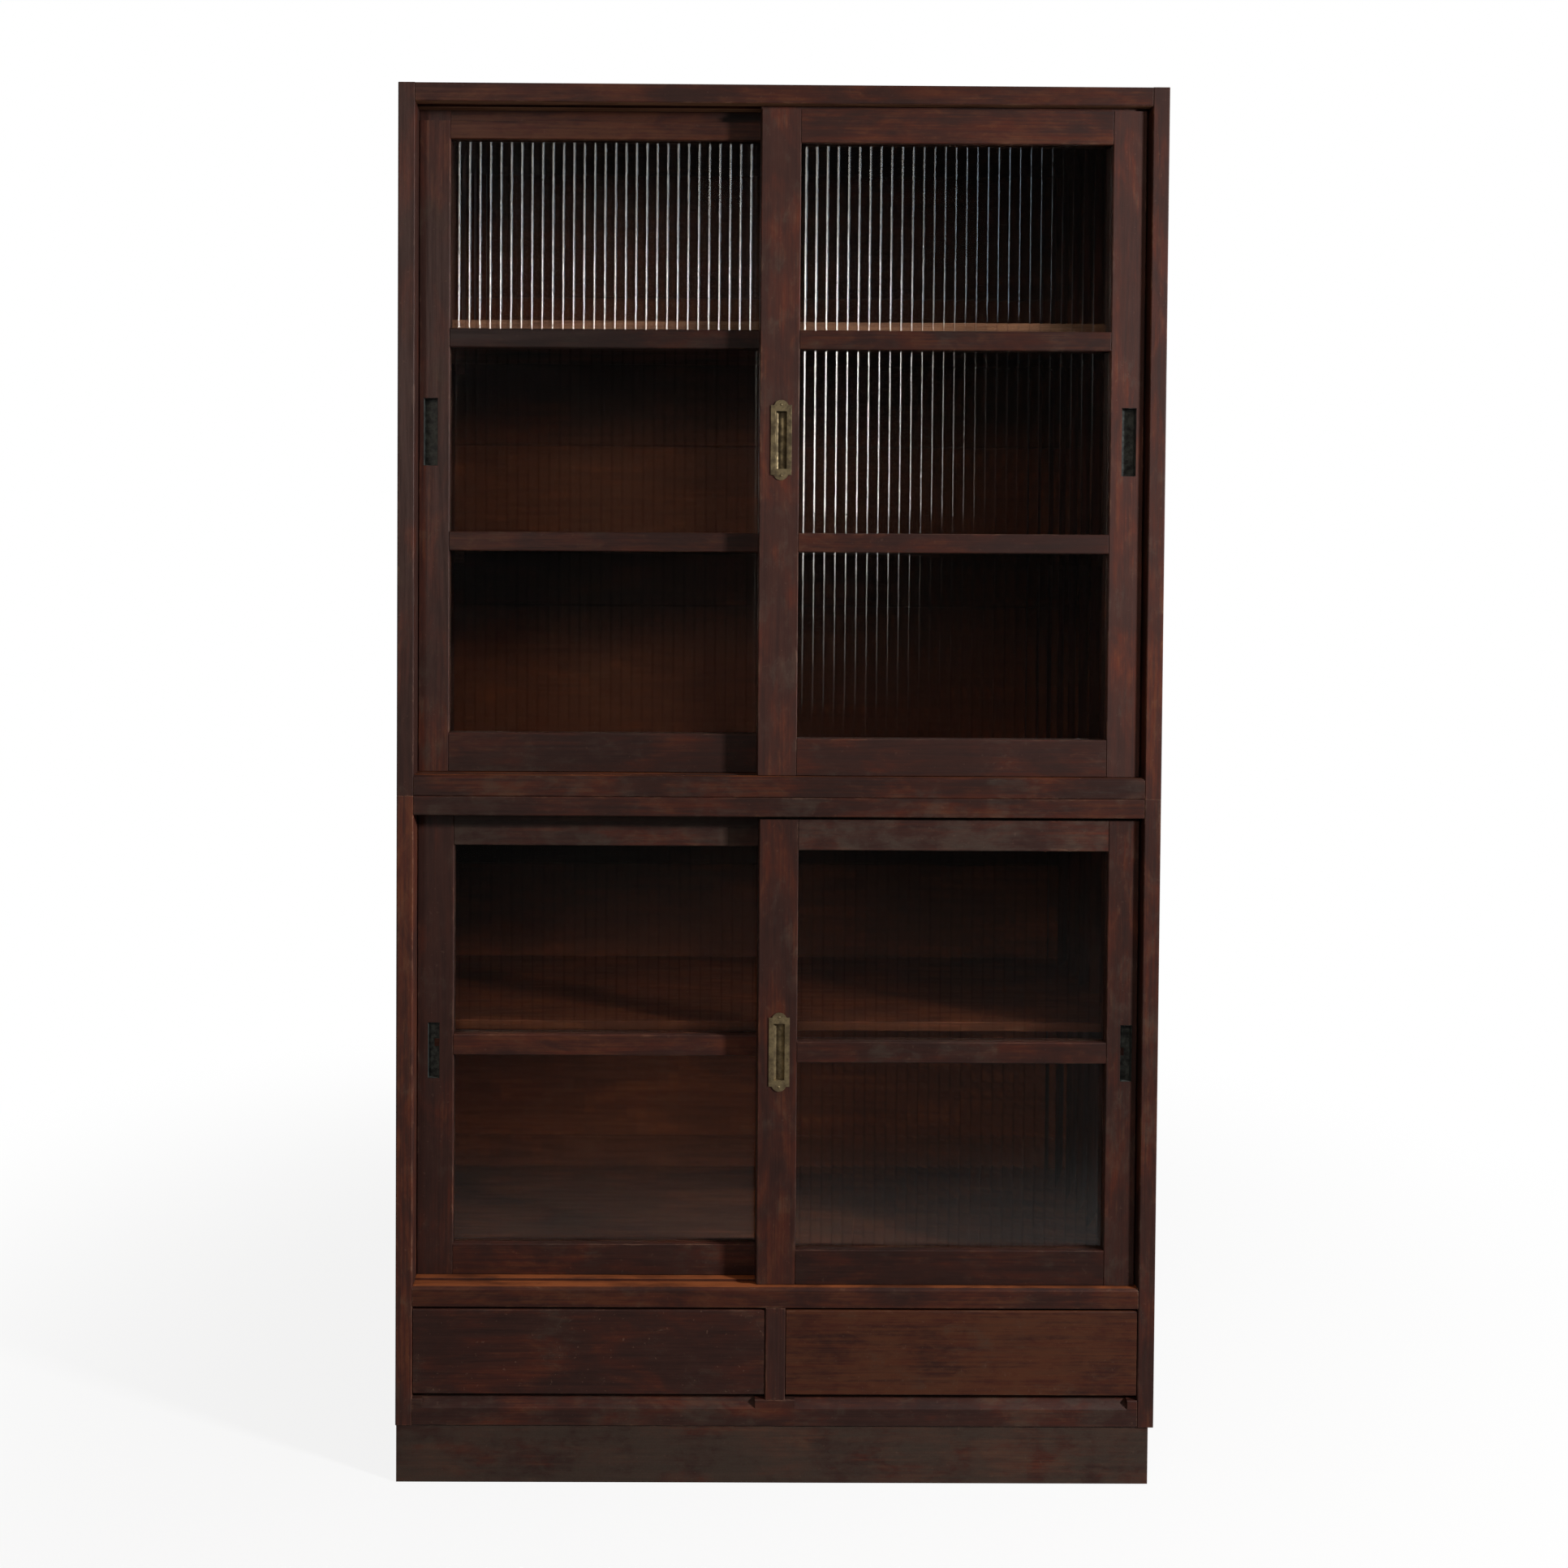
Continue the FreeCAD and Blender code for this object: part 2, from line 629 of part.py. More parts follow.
def build_drawer(side, opening_left):
    """A drawer: front with lapped sides, back and a panel bottom in grooves."""
    thickness = size("drawer_side_thickness")
    front_thickness = size("drawer_front_thickness")
    lap = size("drawer_lap")
    running = size("drawer_running_gap")
    below = size("drawer_gap_below")
    rise = size("drawer_bottom_rise")
    panel = size("drawer_bottom_thickness")
    groove = size("drawer_groove_depth")
    play = size("drawer_play")
    length = drawer_length
    x = opening_left + size("drawer_side_gap")
    y = front_face + size("drawer_setback")
    front_z = drawer_rail_top + below
    side_z = drawer_rail_top + running
    side_height = below + drawer_front_height - running - size("drawer_side_drop")
    panel_z = rise + running - below
    slot_height = panel + 2 * play

    front = new_body(f"{side}_drawer_front")
    section = (
        (arris, 0),
        (front_thickness, 0),
        (front_thickness, drawer_front_height),
        (arris, drawer_front_height),
        (0, drawer_front_height - arris),
        (0, arris),
    )
    pad(front, loops(front, "section", "YZ_Plane", [section]), drawer_width)
    notch_depth = lap + play
    notch_width = thickness + play
    notch_height = side_height + running - below + play
    notches = [
        rectangle(0, front_thickness - notch_depth, notch_width, notch_depth),
        rectangle(drawer_width - notch_width, front_thickness - notch_depth, notch_width, notch_depth),
    ]
    pocket(front, loops(front, "laps", "XY_Plane", notches), notch_height, backwards=True)
    slot = rectangle(front_thickness - groove, panel_z - play, groove, slot_height)
    slot_start = drawer_width - notch_width
    slot_length = drawer_width - 2 * notch_width
    pocket(front, loops(front, "panel_slot", "YZ_Plane", [slot], slot_start), slot_length)
    keep(front, x, y, front_z)

    side_front = front_thickness - lap
    side_length = length - side_front
    foot = below - running
    outline = (
        (0, foot),
        (lap, foot),
        (lap, 0),
        (side_length, 0),
        (side_length, side_height),
        (0, side_height),
    )
    sides = []
    slot = rectangle(0, rise - play, side_length, slot_height)
    for name, slot_end, backwards, left in (
        ("left", thickness, False, as_size(0)),
        ("right", as_size(0), True, drawer_width - thickness),
    ):
        body = new_body(f"{side}_drawer_{name}_side")
        pad(body, loops(body, "outline", "YZ_Plane", [outline]), thickness)
        sketch = loops(body, "panel_slot", "YZ_Plane", [slot], slot_end)
        pocket(body, sketch, groove, backwards)
        place(body, left, 0, 0)
        sides.append(body)
    keep(group(f"{side}_drawer_sides", sides), x, y + side_front, side_z)

    inside = drawer_width - 2 * thickness
    back_height = side_height - rise - panel - play - size("drawer_back_drop")
    back = box(f"{side}_drawer_back", 0, 0, 0, inside, thickness, back_height)
    keep(back, x + thickness, y + length - thickness, side_z + rise + panel + play)

    panel_reach = groove - play
    bottom = box(
        f"{side}_drawer_bottom",
        0,
        0,
        0,
        inside + 2 * panel_reach,
        length - front_thickness + panel_reach,
        panel,
    )
    panel_x = x + thickness - panel_reach
    keep(bottom, panel_x, y + front_thickness - panel_reach, side_z + rise)


class Rail:
    """One cross member of a door, measured up from the door's lowest edge."""

    def __init__(self, name, low, height, kind):
        self.name = name
        self.low = low
        self.height = height
        self.kind = kind
        self.foot = low if kind == "bottom" else as_size(0)

    def web(self):
        """Height range of the full-thickness part, behind the lip."""
        rebate = size("glass_rebate")
        low = as_size(0) if self.kind == "bottom" else rebate
        high = self.height if self.kind == "top" else self.height - rebate
        return low, high

    def tenon(self):
        """Height range of the tenon."""
        low, high = self.web()
        margin = size("tenon_margin")
        if self.kind == "bottom":
            low = margin
        if self.kind == "top":
            high = self.height - margin
        return low, high


class Door:
    """A sliding sash: place, size, stiles, rails and pulls."""

    def __init__(self, unit, side, sill_top, head_base):
        front = side == "right"
        self.label = f"{unit}_{side}_door"
        self.front = front
        self.width = layout(
            f"{self.label}_width",
            (inner_width + size(f"{unit}_door_overlap")) / 2 - size("door_end_gap"),
        )
        rest = right_inside - size(f"{unit}_rest_gap") - self.width
        self.x = rest if front else left_inside + size("door_end_gap")
        face = front_face + size("door_setback")
        self.y = face if front else face + track_pitch
        self.z = sill_top - sill_groove + size("door_running_gap")
        self.low_tongue = sill_groove - size("door_running_gap") + size("door_shoulder_gap")
        lift = "tall_lift_gap" if unit == "upper" and not front else "door_lift_gap"
        self.high_tongue = size(lift) + size("door_head_lap")
        self.height = layout(
            f"{self.label}_height", head_base + size("door_head_lap") - self.z
        )
        track = "front" if front else "back"
        outer = size(f"{unit}_{track}_stile")
        inner = size("meeting_stile") if front else size("hidden_stile")
        self.left_stile = inner if front else outer
        self.right_stile = outer if front else inner
        self.pull_z = self.low_tongue + size(f"{unit}_{track}_pull_rise")
        self.pull_height = size(f"{unit}_pull_height")
        self.pull_width = size(f"{unit}_pull_width")
        self.pull_margin = size(f"{unit}_pull_margin")
        self.rails = self.list_rails(unit, track)

    def list_rails(self, unit, track):
        """Bottom, middle and top rails in order, from the bottom."""
        base = self.low_tongue
        low = size(f"{unit}_{track}_bottom_rail")
        rails = [Rail("bottom_rail", base, low, "bottom")]
        if unit == "upper":
            mid = size("upper_mid_rail")
            rails.append(Rail("low_mid_rail", base + size("upper_low_mid_rise"), mid, "mid"))
            high = size(f"upper_{track}_high_mid_rise")
            rails.append(Rail("high_mid_rail", base + high, mid, "mid"))
            top = size(f"upper_{track}_top_rail")
        else:
            mid = size("lower_mid_rail")
            rails.append(Rail("mid_rail", base + size("lower_mid_rise"), mid, "mid"))
            top = size("lower_top_rail")
        top_low = self.height - self.high_tongue - top
        rails.append(Rail("top_rail", top_low, top, "top"))
        return rails

    def inner_left(self):
        return self.left_stile

    def inner_right(self):
        return self.width - self.right_stile

    def opening_width(self):
        return self.width - self.left_stile - self.right_stile


def tongue_cheek():
    """Wood taken from each face to leave a tongue that runs in the groove."""
    tongue = size("track_width") - 2 * size("door_tongue_play")
    return (door_thickness - tongue) / 2


def build_stile(door, side):
    """A stile: glass rebate, tongues at both ends, mortises, and a pull where it has one."""
    on_left = side == "left"
    width = door.left_stile if on_left else door.right_stile
    rebate = size("glass_rebate")
    lip = size("glass_lip")

    def across(u):
        return as_size(u) if on_left else width - u

    section = (
        (across(arris), 0),
        (across(width - arris), 0),
        (across(width), arris),
        (across(width), lip),
        (across(width - rebate), lip),
        (across(width - rebate), door_thickness),
        (across(0), door_thickness),
        (across(0), arris),
    )
    body = new_body(f"{door.label}_{side}_stile")
    pad(body, loops(body, "section", "XY_Plane", [section]), door.height)

    cheek = tongue_cheek()
    back_cheek = door_thickness - cheek
    top = door.height - door.high_tongue
    cheeks = [
        rectangle(0, 0, cheek, door.low_tongue),
        rectangle(back_cheek, 0, cheek, door.low_tongue),
        rectangle(0, top, cheek, door.high_tongue),
        rectangle(back_cheek, top, cheek, door.high_tongue),
    ]
    pocket(body, loops(body, "tongues", "YZ_Plane", cheeks))

    play = size("tenon_play")
    mortises = []
    for rail in door.rails:
        low, high = rail.tenon()
        mortises.append(
            rectangle(
                tenon_setback - play,
                rail.low + low - play,
                size("tenon_thickness") + 2 * play,
                high - low + 2 * play,
            )
        )
    edge = width if on_left else as_size(0)
    sketch = loops(body, "mortises", "YZ_Plane", mortises, edge)
    pocket(body, sketch, size("tenon_length") + play, backwards=not on_left)

    if on_left == door.front:
        cut_plate_mortise(body, door)
    else:
        cut_finger_pull(body, door, across)
    place_x = door.x if on_left else door.x + door.inner_right()
    keep(body, place_x, door.y, door.z)


def cut_finger_pull(body, door, across):
    """A square-ended recess for the fingertips in an outer stile."""
    width = door.left_stile if not door.front else door.right_stile
    far = across(width - door.pull_margin)
    near = across(width - door.pull_margin - door.pull_width)
    low = near if near.value < far.value else far
    bottom = door.pull_z - door.pull_height / 2
    recess = rectangle(low, bottom, door.pull_width, door.pull_height)
    pocket(body, loops(body, "finger_pull", "XZ_Plane", [recess]), size("pull_depth"))


def cut_plate_mortise(body, door):
    """The mortise that takes the brass cup, only in the inner stile of a front door."""
    if not door.front:
        return
    play = size("cup_play")
    width, length, _ = cup_outside()
    left = door.left_stile / 2 + size("plate_offset") - width / 2 - play
    low = door.pull_z - length / 2 - play
    recess = rectangle(left, low, width + 2 * play, length + 2 * play)
    pocket(body, loops(body, "cup_mortise", "XZ_Plane", [recess]), cup_mortise_depth)


def rail_body(door, rail):
    """A rail: lip in front, web let into the stiles' rebates, tenons, and a tongue."""
    rebate = size("glass_rebate")
    lip = size("glass_lip")
    length = door.opening_width()
    foot = rail.foot
    top = foot + rail.height
    face = [(lip, foot), (lip, top)]
    if rail.kind == "top":
        face += [(0, top)]
    else:
        face += [(arris, top), (0, top - arris)]
    if rail.kind == "bottom":
        face += [(0, foot)]
    else:
        face += [(0, foot + arris), (arris, foot)]
    body = new_body(f"{door.label}_{rail.name}")
    pad(body, loops(body, "lip", "YZ_Plane", [face]), length)

    low, high = rail.web()
    web = rectangle(lip, foot + low, door_thickness - lip, high - low)
    pad(body, loops(body, "web", "YZ_Plane", [web], -rebate), length + 2 * rebate)

    low, high = rail.tenon()
    tenon = rectangle(tenon_setback, foot + low, size("tenon_thickness"), high - low)
    reach = size("tenon_length")
    pad(body, loops(body, "tenons", "YZ_Plane", [tenon], -reach), length + 2 * reach)

    cheek = tongue_cheek()
    tongue_width = door_thickness - 2 * cheek
    if rail.kind == "top":
        tongue = rectangle(cheek, top, tongue_width, door.high_tongue)
    elif rail.kind == "bottom":
        tongue = rectangle(cheek, 0, tongue_width, foot)
    else:
        return body
    pad(body, loops(body, "tongue", "YZ_Plane", [tongue]), length)
    return body


def build_rails(door):
    """The rails between the stiles; the middle rails of an upper door share a name."""
    mids = []
    for rail in door.rails:
        body = rail_body(door, rail)
        if rail.kind == "mid" and len(door.rails) > 3:
            place(body, 0, 0, rail.low)
            mids.append(body)
        else:
            base = door.z + rail.low - rail.foot
            keep(body, door.x + door.inner_left(), door.y, base)
    if mids:
        compound = group(f"{door.label}_mid_rails", mids)
        keep(compound, door.x + door.inner_left(), door.y, door.z)


def gaps_between(door):
    """Low and high edge of each glazed opening."""
    pairs = zip(door.rails[:-1], door.rails[1:])
    return [(below.low + below.height, above.low) for below, above in pairs]


def fluted_sheet(width, height):
    """One pane: flat behind, with a row of round flutes in front."""
    thickness = size("glass_thickness").value
    rise = size("flute_rise").value
    count = max(1, round(width / size("flute_pitch").value))
    step = width / count
    edges = []
    for number in range(count):
        start = FreeCAD.Vector(number * step, rise, 0)
        crest = FreeCAD.Vector((number + 0.5) * step, 0, 0)
        end = FreeCAD.Vector((number + 1) * step, rise, 0)
        edges.append(Part.Arc(start, crest, end).toShape())
    corners = [(width, rise), (width, thickness), (0, thickness), (0, rise)]
    for (x, y), (next_x, next_y) in zip(corners, corners[1:]):
        edges.append(Part.makeLine(FreeCAD.Vector(x, y, 0), FreeCAD.Vector(next_x, next_y, 0)))
    return Part.Face(Part.Wire(edges)).extrude(FreeCAD.Vector(0, 0, height))


def build_panes(door):
    """Fluted glass laid in the rebates from behind."""
    edge = size("glass_edge")
    width = door.opening_width() + 2 * edge
    sheets = []
    for low, high in gaps_between(door):
        sheet_shape = fluted_sheet(width.value, (high - low + 2 * edge).value)
        sheet_shape.translate(FreeCAD.Vector(0, 0, (low - edge).value))
        sheets.append(sheet_shape)
    panes = doc.addObject("Part::Feature", f"{door.label}_panes")
    panes.Label = f"{door.label}_panes"
    panes.Shape = Part.makeCompound(sheets)
    y = door.y + size("glass_lip") + size("glass_play")
    keep(panes, door.x + door.inner_left() - edge, y, door.z)


def build_beads(door):
    """Strips pinned behind the glass, flush with the back of the frame."""
    rebate = size("glass_rebate")
    front = size("glass_lip") + size("glass_thickness") + 2 * size("glass_play")
    depth = door_thickness - front
    width = door.opening_width()
    strips = []
    for number, (low, high) in enumerate(gaps_between(door), start=1):
        name = f"{door.label}_bead_{number}"
        upright = high - low + 2 * rebate
        strips += [
            box(f"{name}_left", 0, 0, low - rebate, rebate, depth, upright),
            box(f"{name}_right", width + rebate, 0, low - rebate, rebate, depth, upright),
            box(f"{name}_bottom", rebate, 0, low - rebate, width, depth, rebate),
            box(f"{name}_top", rebate, 0, high, width, depth, rebate),
        ]
    compound = group(f"{door.label}_beads", strips)
    keep(compound, door.x + door.inner_left() - rebate, door.y + front, door.z)


def build_brass_pull(door):
    """A sheet-brass plate with round ends and a long cup pressed into it."""
    width = size("plate_width")
    length = size("plate_length")
    thickness = size("plate_thickness")
    lobe = size("plate_lobe")
    radius = size("plate_lobe_radius")
    outer_width, outer_length, outer_depth = cup_outside()
    body = new_body(f"{door.label}_brass_pull")
    square = rectangle(0, lobe, width, length - 2 * lobe)
    pad(body, loops(body, "plate", "XZ_Plane", [square]), thickness, backwards=True)
    for name, centre in (("lower", radius), ("upper", length - radius)):
        sketch = new_sketch(body, f"{name}_end", "XZ_Plane")
        middle = FreeCAD.Vector((width / 2).value, centre.value, 0)
        circle = Part.Circle(middle, FreeCAD.Vector(0, 0, 1), radius.value)
        index = sketch.addGeometry(circle, False)
        rule = sketch.addConstraint(Sketcher.Constraint("Radius", index, radius.value))
        sketch.setExpression(f"Constraints[{rule}]", radius.text)
        anchor(sketch, index, 3, "DistanceX", width / 2)
        anchor(sketch, index, 3, "DistanceY", centre)
        pad(body, sketch, thickness, backwards=True)
    shell = rectangle((width - outer_width) / 2, (length - outer_length) / 2, outer_width, outer_length)
    whole = thickness + outer_depth
    pad(body, loops(body, "cup", "XZ_Plane", [shell]), whole, backwards=True)
    hollow = rectangle(
        (width - size("cup_width")) / 2,
        (length - size("cup_length")) / 2,
        size("cup_width"),
        size("cup_length"),
    )
    pocket(body, loops(body, "hollow", "XZ_Plane", [hollow]), size("cup_depth"))
    x = door.x + door.left_stile / 2 + size("plate_offset") - width / 2
    keep(body, x, door.y - thickness, door.z + door.pull_z - length / 2)


def build_door(unit, side, sill_top, head_base):
    """One complete door."""
    door = Door(unit, side, sill_top, head_base)
    build_stile(door, "left")
    build_stile(door, "right")
    build_rails(door)
    build_panes(door)
    build_beads(door)
    if door.front:
        build_brass_pull(door)


build_plinth()
build_side("lower_left_side", left_face, plinth_height, size("lower_height"), True)
build_side("lower_right_side", right_inside, plinth_height, size("lower_height"), False)
build_side("upper_left_side", left_face, lower_top, size("upper_height"), True)
build_side("upper_right_side", right_inside, lower_top, size("upper_height"), False)
build_drawer_frame()
build_sill("lower_sill_rail", lower_sill_base, size("lower_sill_height"))
build_head("lower_head_rail", lower_head_base, size("lower_head_height"), size("lower_head_groove"))
build_sill("upper_sill_rail", lower_top, size("upper_sill_height"))
build_head("upper_head_rail", upper_head_base, size("upper_head_height"), size("upper_head_groove"))
build_level_board("lower_floor_board", lower_sill_top)
build_level_board("lower_top_board", lower_top)
build_level_board("upper_floor_board", upper_sill_top)
build_level_board("upper_top_board", upper_top)
build_back_boards("lower_back_boards", plinth_height, size("lower_height"), LOWER_SEAM_SHARES)
build_back_boards("upper_back_boards", lower_top, size("upper_height"), UPPER_SEAM_SHARES)
build_shelves()
for door_side in ("left", "right"):
    build_door("lower", door_side, lower_sill_top, lower_head_base)
    build_door("upper", door_side, upper_sill_top, upper_head_base)
build_drawer("left", left_inside)
build_drawer("right", left_inside + drawer_opening_width + size("divider_width"))
doc.recompute()


def check_features():
    """Stop if an object failed, a shape is broken, or a cut or pad changed nothing."""
    for item in doc.Objects:
        if "Invalid" in item.State or "Error" in item.State:
            raise RuntimeError(f"{item.Name} failed: {item.State}")
        if item.TypeId not in ("PartDesign::Pad", "PartDesign::Pocket"):
            continue
        base = item.BaseFeature
        before = base.Shape.Volume if base else 0.0
        grew = item.Shape.Volume > before
        if grew != (item.TypeId == "PartDesign::Pad") or item.Shape.Volume == before:
            raise RuntimeError(f"{item.Name} changed nothing")
    for piece in pieces:
        if piece.Shape.isNull() or not piece.Shape.isValid():
            raise RuntimeError(f"{piece.Label} has no valid shape")


def write_pieces():
    """Write each piece to its own file."""
    os.makedirs("parts", exist_ok=True)
    for piece in pieces:
        piece.Shape.exportStep(f"parts/{piece.Label}.step")


check_features()
write_pieces()
print(f"{len(pieces)} pieces written")
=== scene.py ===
import json
import math
import random

import bmesh
import bpy
from mathutils import Matrix, Vector

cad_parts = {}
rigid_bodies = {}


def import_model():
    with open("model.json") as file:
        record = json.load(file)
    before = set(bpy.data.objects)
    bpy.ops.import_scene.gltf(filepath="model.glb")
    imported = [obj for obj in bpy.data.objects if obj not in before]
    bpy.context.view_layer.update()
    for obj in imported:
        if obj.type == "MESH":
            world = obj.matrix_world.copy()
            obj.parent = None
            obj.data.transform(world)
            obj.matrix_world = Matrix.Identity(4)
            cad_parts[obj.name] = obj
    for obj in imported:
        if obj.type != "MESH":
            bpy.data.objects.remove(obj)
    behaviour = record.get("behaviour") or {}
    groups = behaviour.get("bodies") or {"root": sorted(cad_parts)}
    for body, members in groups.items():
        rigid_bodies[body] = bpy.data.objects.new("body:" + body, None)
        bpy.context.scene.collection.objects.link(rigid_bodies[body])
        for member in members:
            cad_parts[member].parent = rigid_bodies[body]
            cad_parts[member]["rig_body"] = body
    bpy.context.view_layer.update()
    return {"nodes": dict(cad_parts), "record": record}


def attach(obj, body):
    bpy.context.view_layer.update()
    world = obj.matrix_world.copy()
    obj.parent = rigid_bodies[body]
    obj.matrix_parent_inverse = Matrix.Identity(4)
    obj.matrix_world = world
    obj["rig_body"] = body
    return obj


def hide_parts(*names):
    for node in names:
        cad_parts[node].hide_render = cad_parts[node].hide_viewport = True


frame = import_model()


# Camera: two metres in front of the cabinet, a little left of its middle and some 1.1 metres up,
# turned about a degree down. The small shifts keep the doors upright as in the picture.
lens = bpy.data.cameras.new("camera")
lens.sensor_width = 36
lens.lens = 34.78
lens.shift_x = 0.0847
lens.shift_y = -0.1173
camera = bpy.data.objects.new("camera", lens)
camera.matrix_world = (
    Matrix.Translation((-0.162, -1.983, 1.097))
    @ Matrix.Rotation(math.radians(-0.267), 4, "Z")
    @ Matrix.Rotation(math.radians(90 - 1.196), 4, "X")
    @ Matrix.Rotation(math.radians(0.3325), 4, "Z")
)
bpy.context.scene.collection.objects.link(camera)
bpy.context.scene.camera = camera


# Plinth: four softwood boards nailed at the corners, under the lower unit. They have the cabinet's
# red-brown stain, greyed by floor dust, and their lower edges are bumped and rubbed bare.
class Shade:
    """A socket of a finish, so that the finish is written as sums of what it varies by."""

    def __init__(self, tree, socket=None):
        self.tree = tree
        self.socket = socket

    def node(self, kind, settings=None, sockets=None, out=0):
        """Any node: its settings first, then the values or links of its sockets."""
        made = self.tree.nodes.new("ShaderNode" + kind)
        for name, value in (settings or {}).items():
            setattr(made, name, value)
        for name, value in (sockets or {}).items():
            socket = made.inputs[name]
            if isinstance(value, Shade):
                self.tree.links.new(value.socket, socket)
            elif socket.type == "RGBA":
                socket.default_value = (*value, 1)
            else:
                socket.default_value = value
        return Shade(self.tree, made.outputs[out])

    def combined(self, operation, first, second):
        pair = (first, second)
        shades = [item for item in pair if isinstance(item, Shade)]
        vectors = any(shade.socket.type in ("VECTOR", "RGBA") for shade in shades)
        if not vectors:
            return self.node("Math", {"operation": operation}, {0: first, 1: second})
        whole = [(item,) * 3 if isinstance(item, (int, float)) else item for item in pair]
        return self.node("VectorMath", {"operation": operation}, {0: whole[0], 1: whole[1]})

    def __add__(self, other):
        return self.combined("ADD", self, other)

    __radd__ = __add__

    def __sub__(self, other):
        return self.combined("SUBTRACT", self, other)

    def __rsub__(self, other):
        return self.combined("SUBTRACT", other, self)

    def __mul__(self, other):
        return self.combined("MULTIPLY", self, other)

    __rmul__ = __mul__

    def least(self, other):
        return self.combined("MINIMUM", self, other)

    def most(self, other):
        return self.combined("MAXIMUM", self, other)

    def band(self, start, end):
        """0 at start, 1 at end, smooth between."""
        return self.node(
            "MapRange",
            {"interpolation_type": "SMOOTHSTEP"},
            {"Value": self, "From Min": start, "From Max": end},
        )

    def blend(self, other, amount):
        """This colour going over to another by an amount."""
        return self.node("Mix", {"data_type": "RGBA"}, {0: amount, 6: self, 7: other}, 2)

    def colour(self, red, green, blue):
        return self.node("RGB").filled((red, green, blue, 1))

    def filled(self, value):
        self.socket.default_value = value
        return self

    def noise(self, where, scale, detail=3.0, roughness=0.55, distortion=0.0):
        sockets = {"Vector": where, "Scale": scale, "Detail": detail, "Roughness": roughness}
        return self.node("TexNoise", None, {**sockets, "Distortion": distortion})

    def attribute(self, name, out=1):
        return self.node("Attribute", {"attribute_name": name}, None, out)

    def part(self, axis):
        """One of the three numbers of a vector."""
        return self.node("SeparateXYZ", None, {0: self}, axis)


def new_finish(name):
    """An empty material, and its tree as a Shade to start sums from."""
    finish = bpy.data.materials.new(name)
    finish.use_nodes = True
    finish.node_tree.nodes.clear()
    return finish, Shade(finish.node_tree)


def close_finish(shade, surface):
    """Leads a surface to the material's output."""
    output = shade.tree.nodes.new("ShaderNodeOutputMaterial")
    shade.tree.links.new(surface.socket, output.inputs["Surface"])


# Painted light: a pale colour for undersides, as light bounced up onto them, and an orange for
# tops, partly rubbed wear and partly light from above.
underside_bounce_light = (0.34, 0.17, 0.095)
rubbed_and_lit_orange = (0.36, 0.105, 0.036)


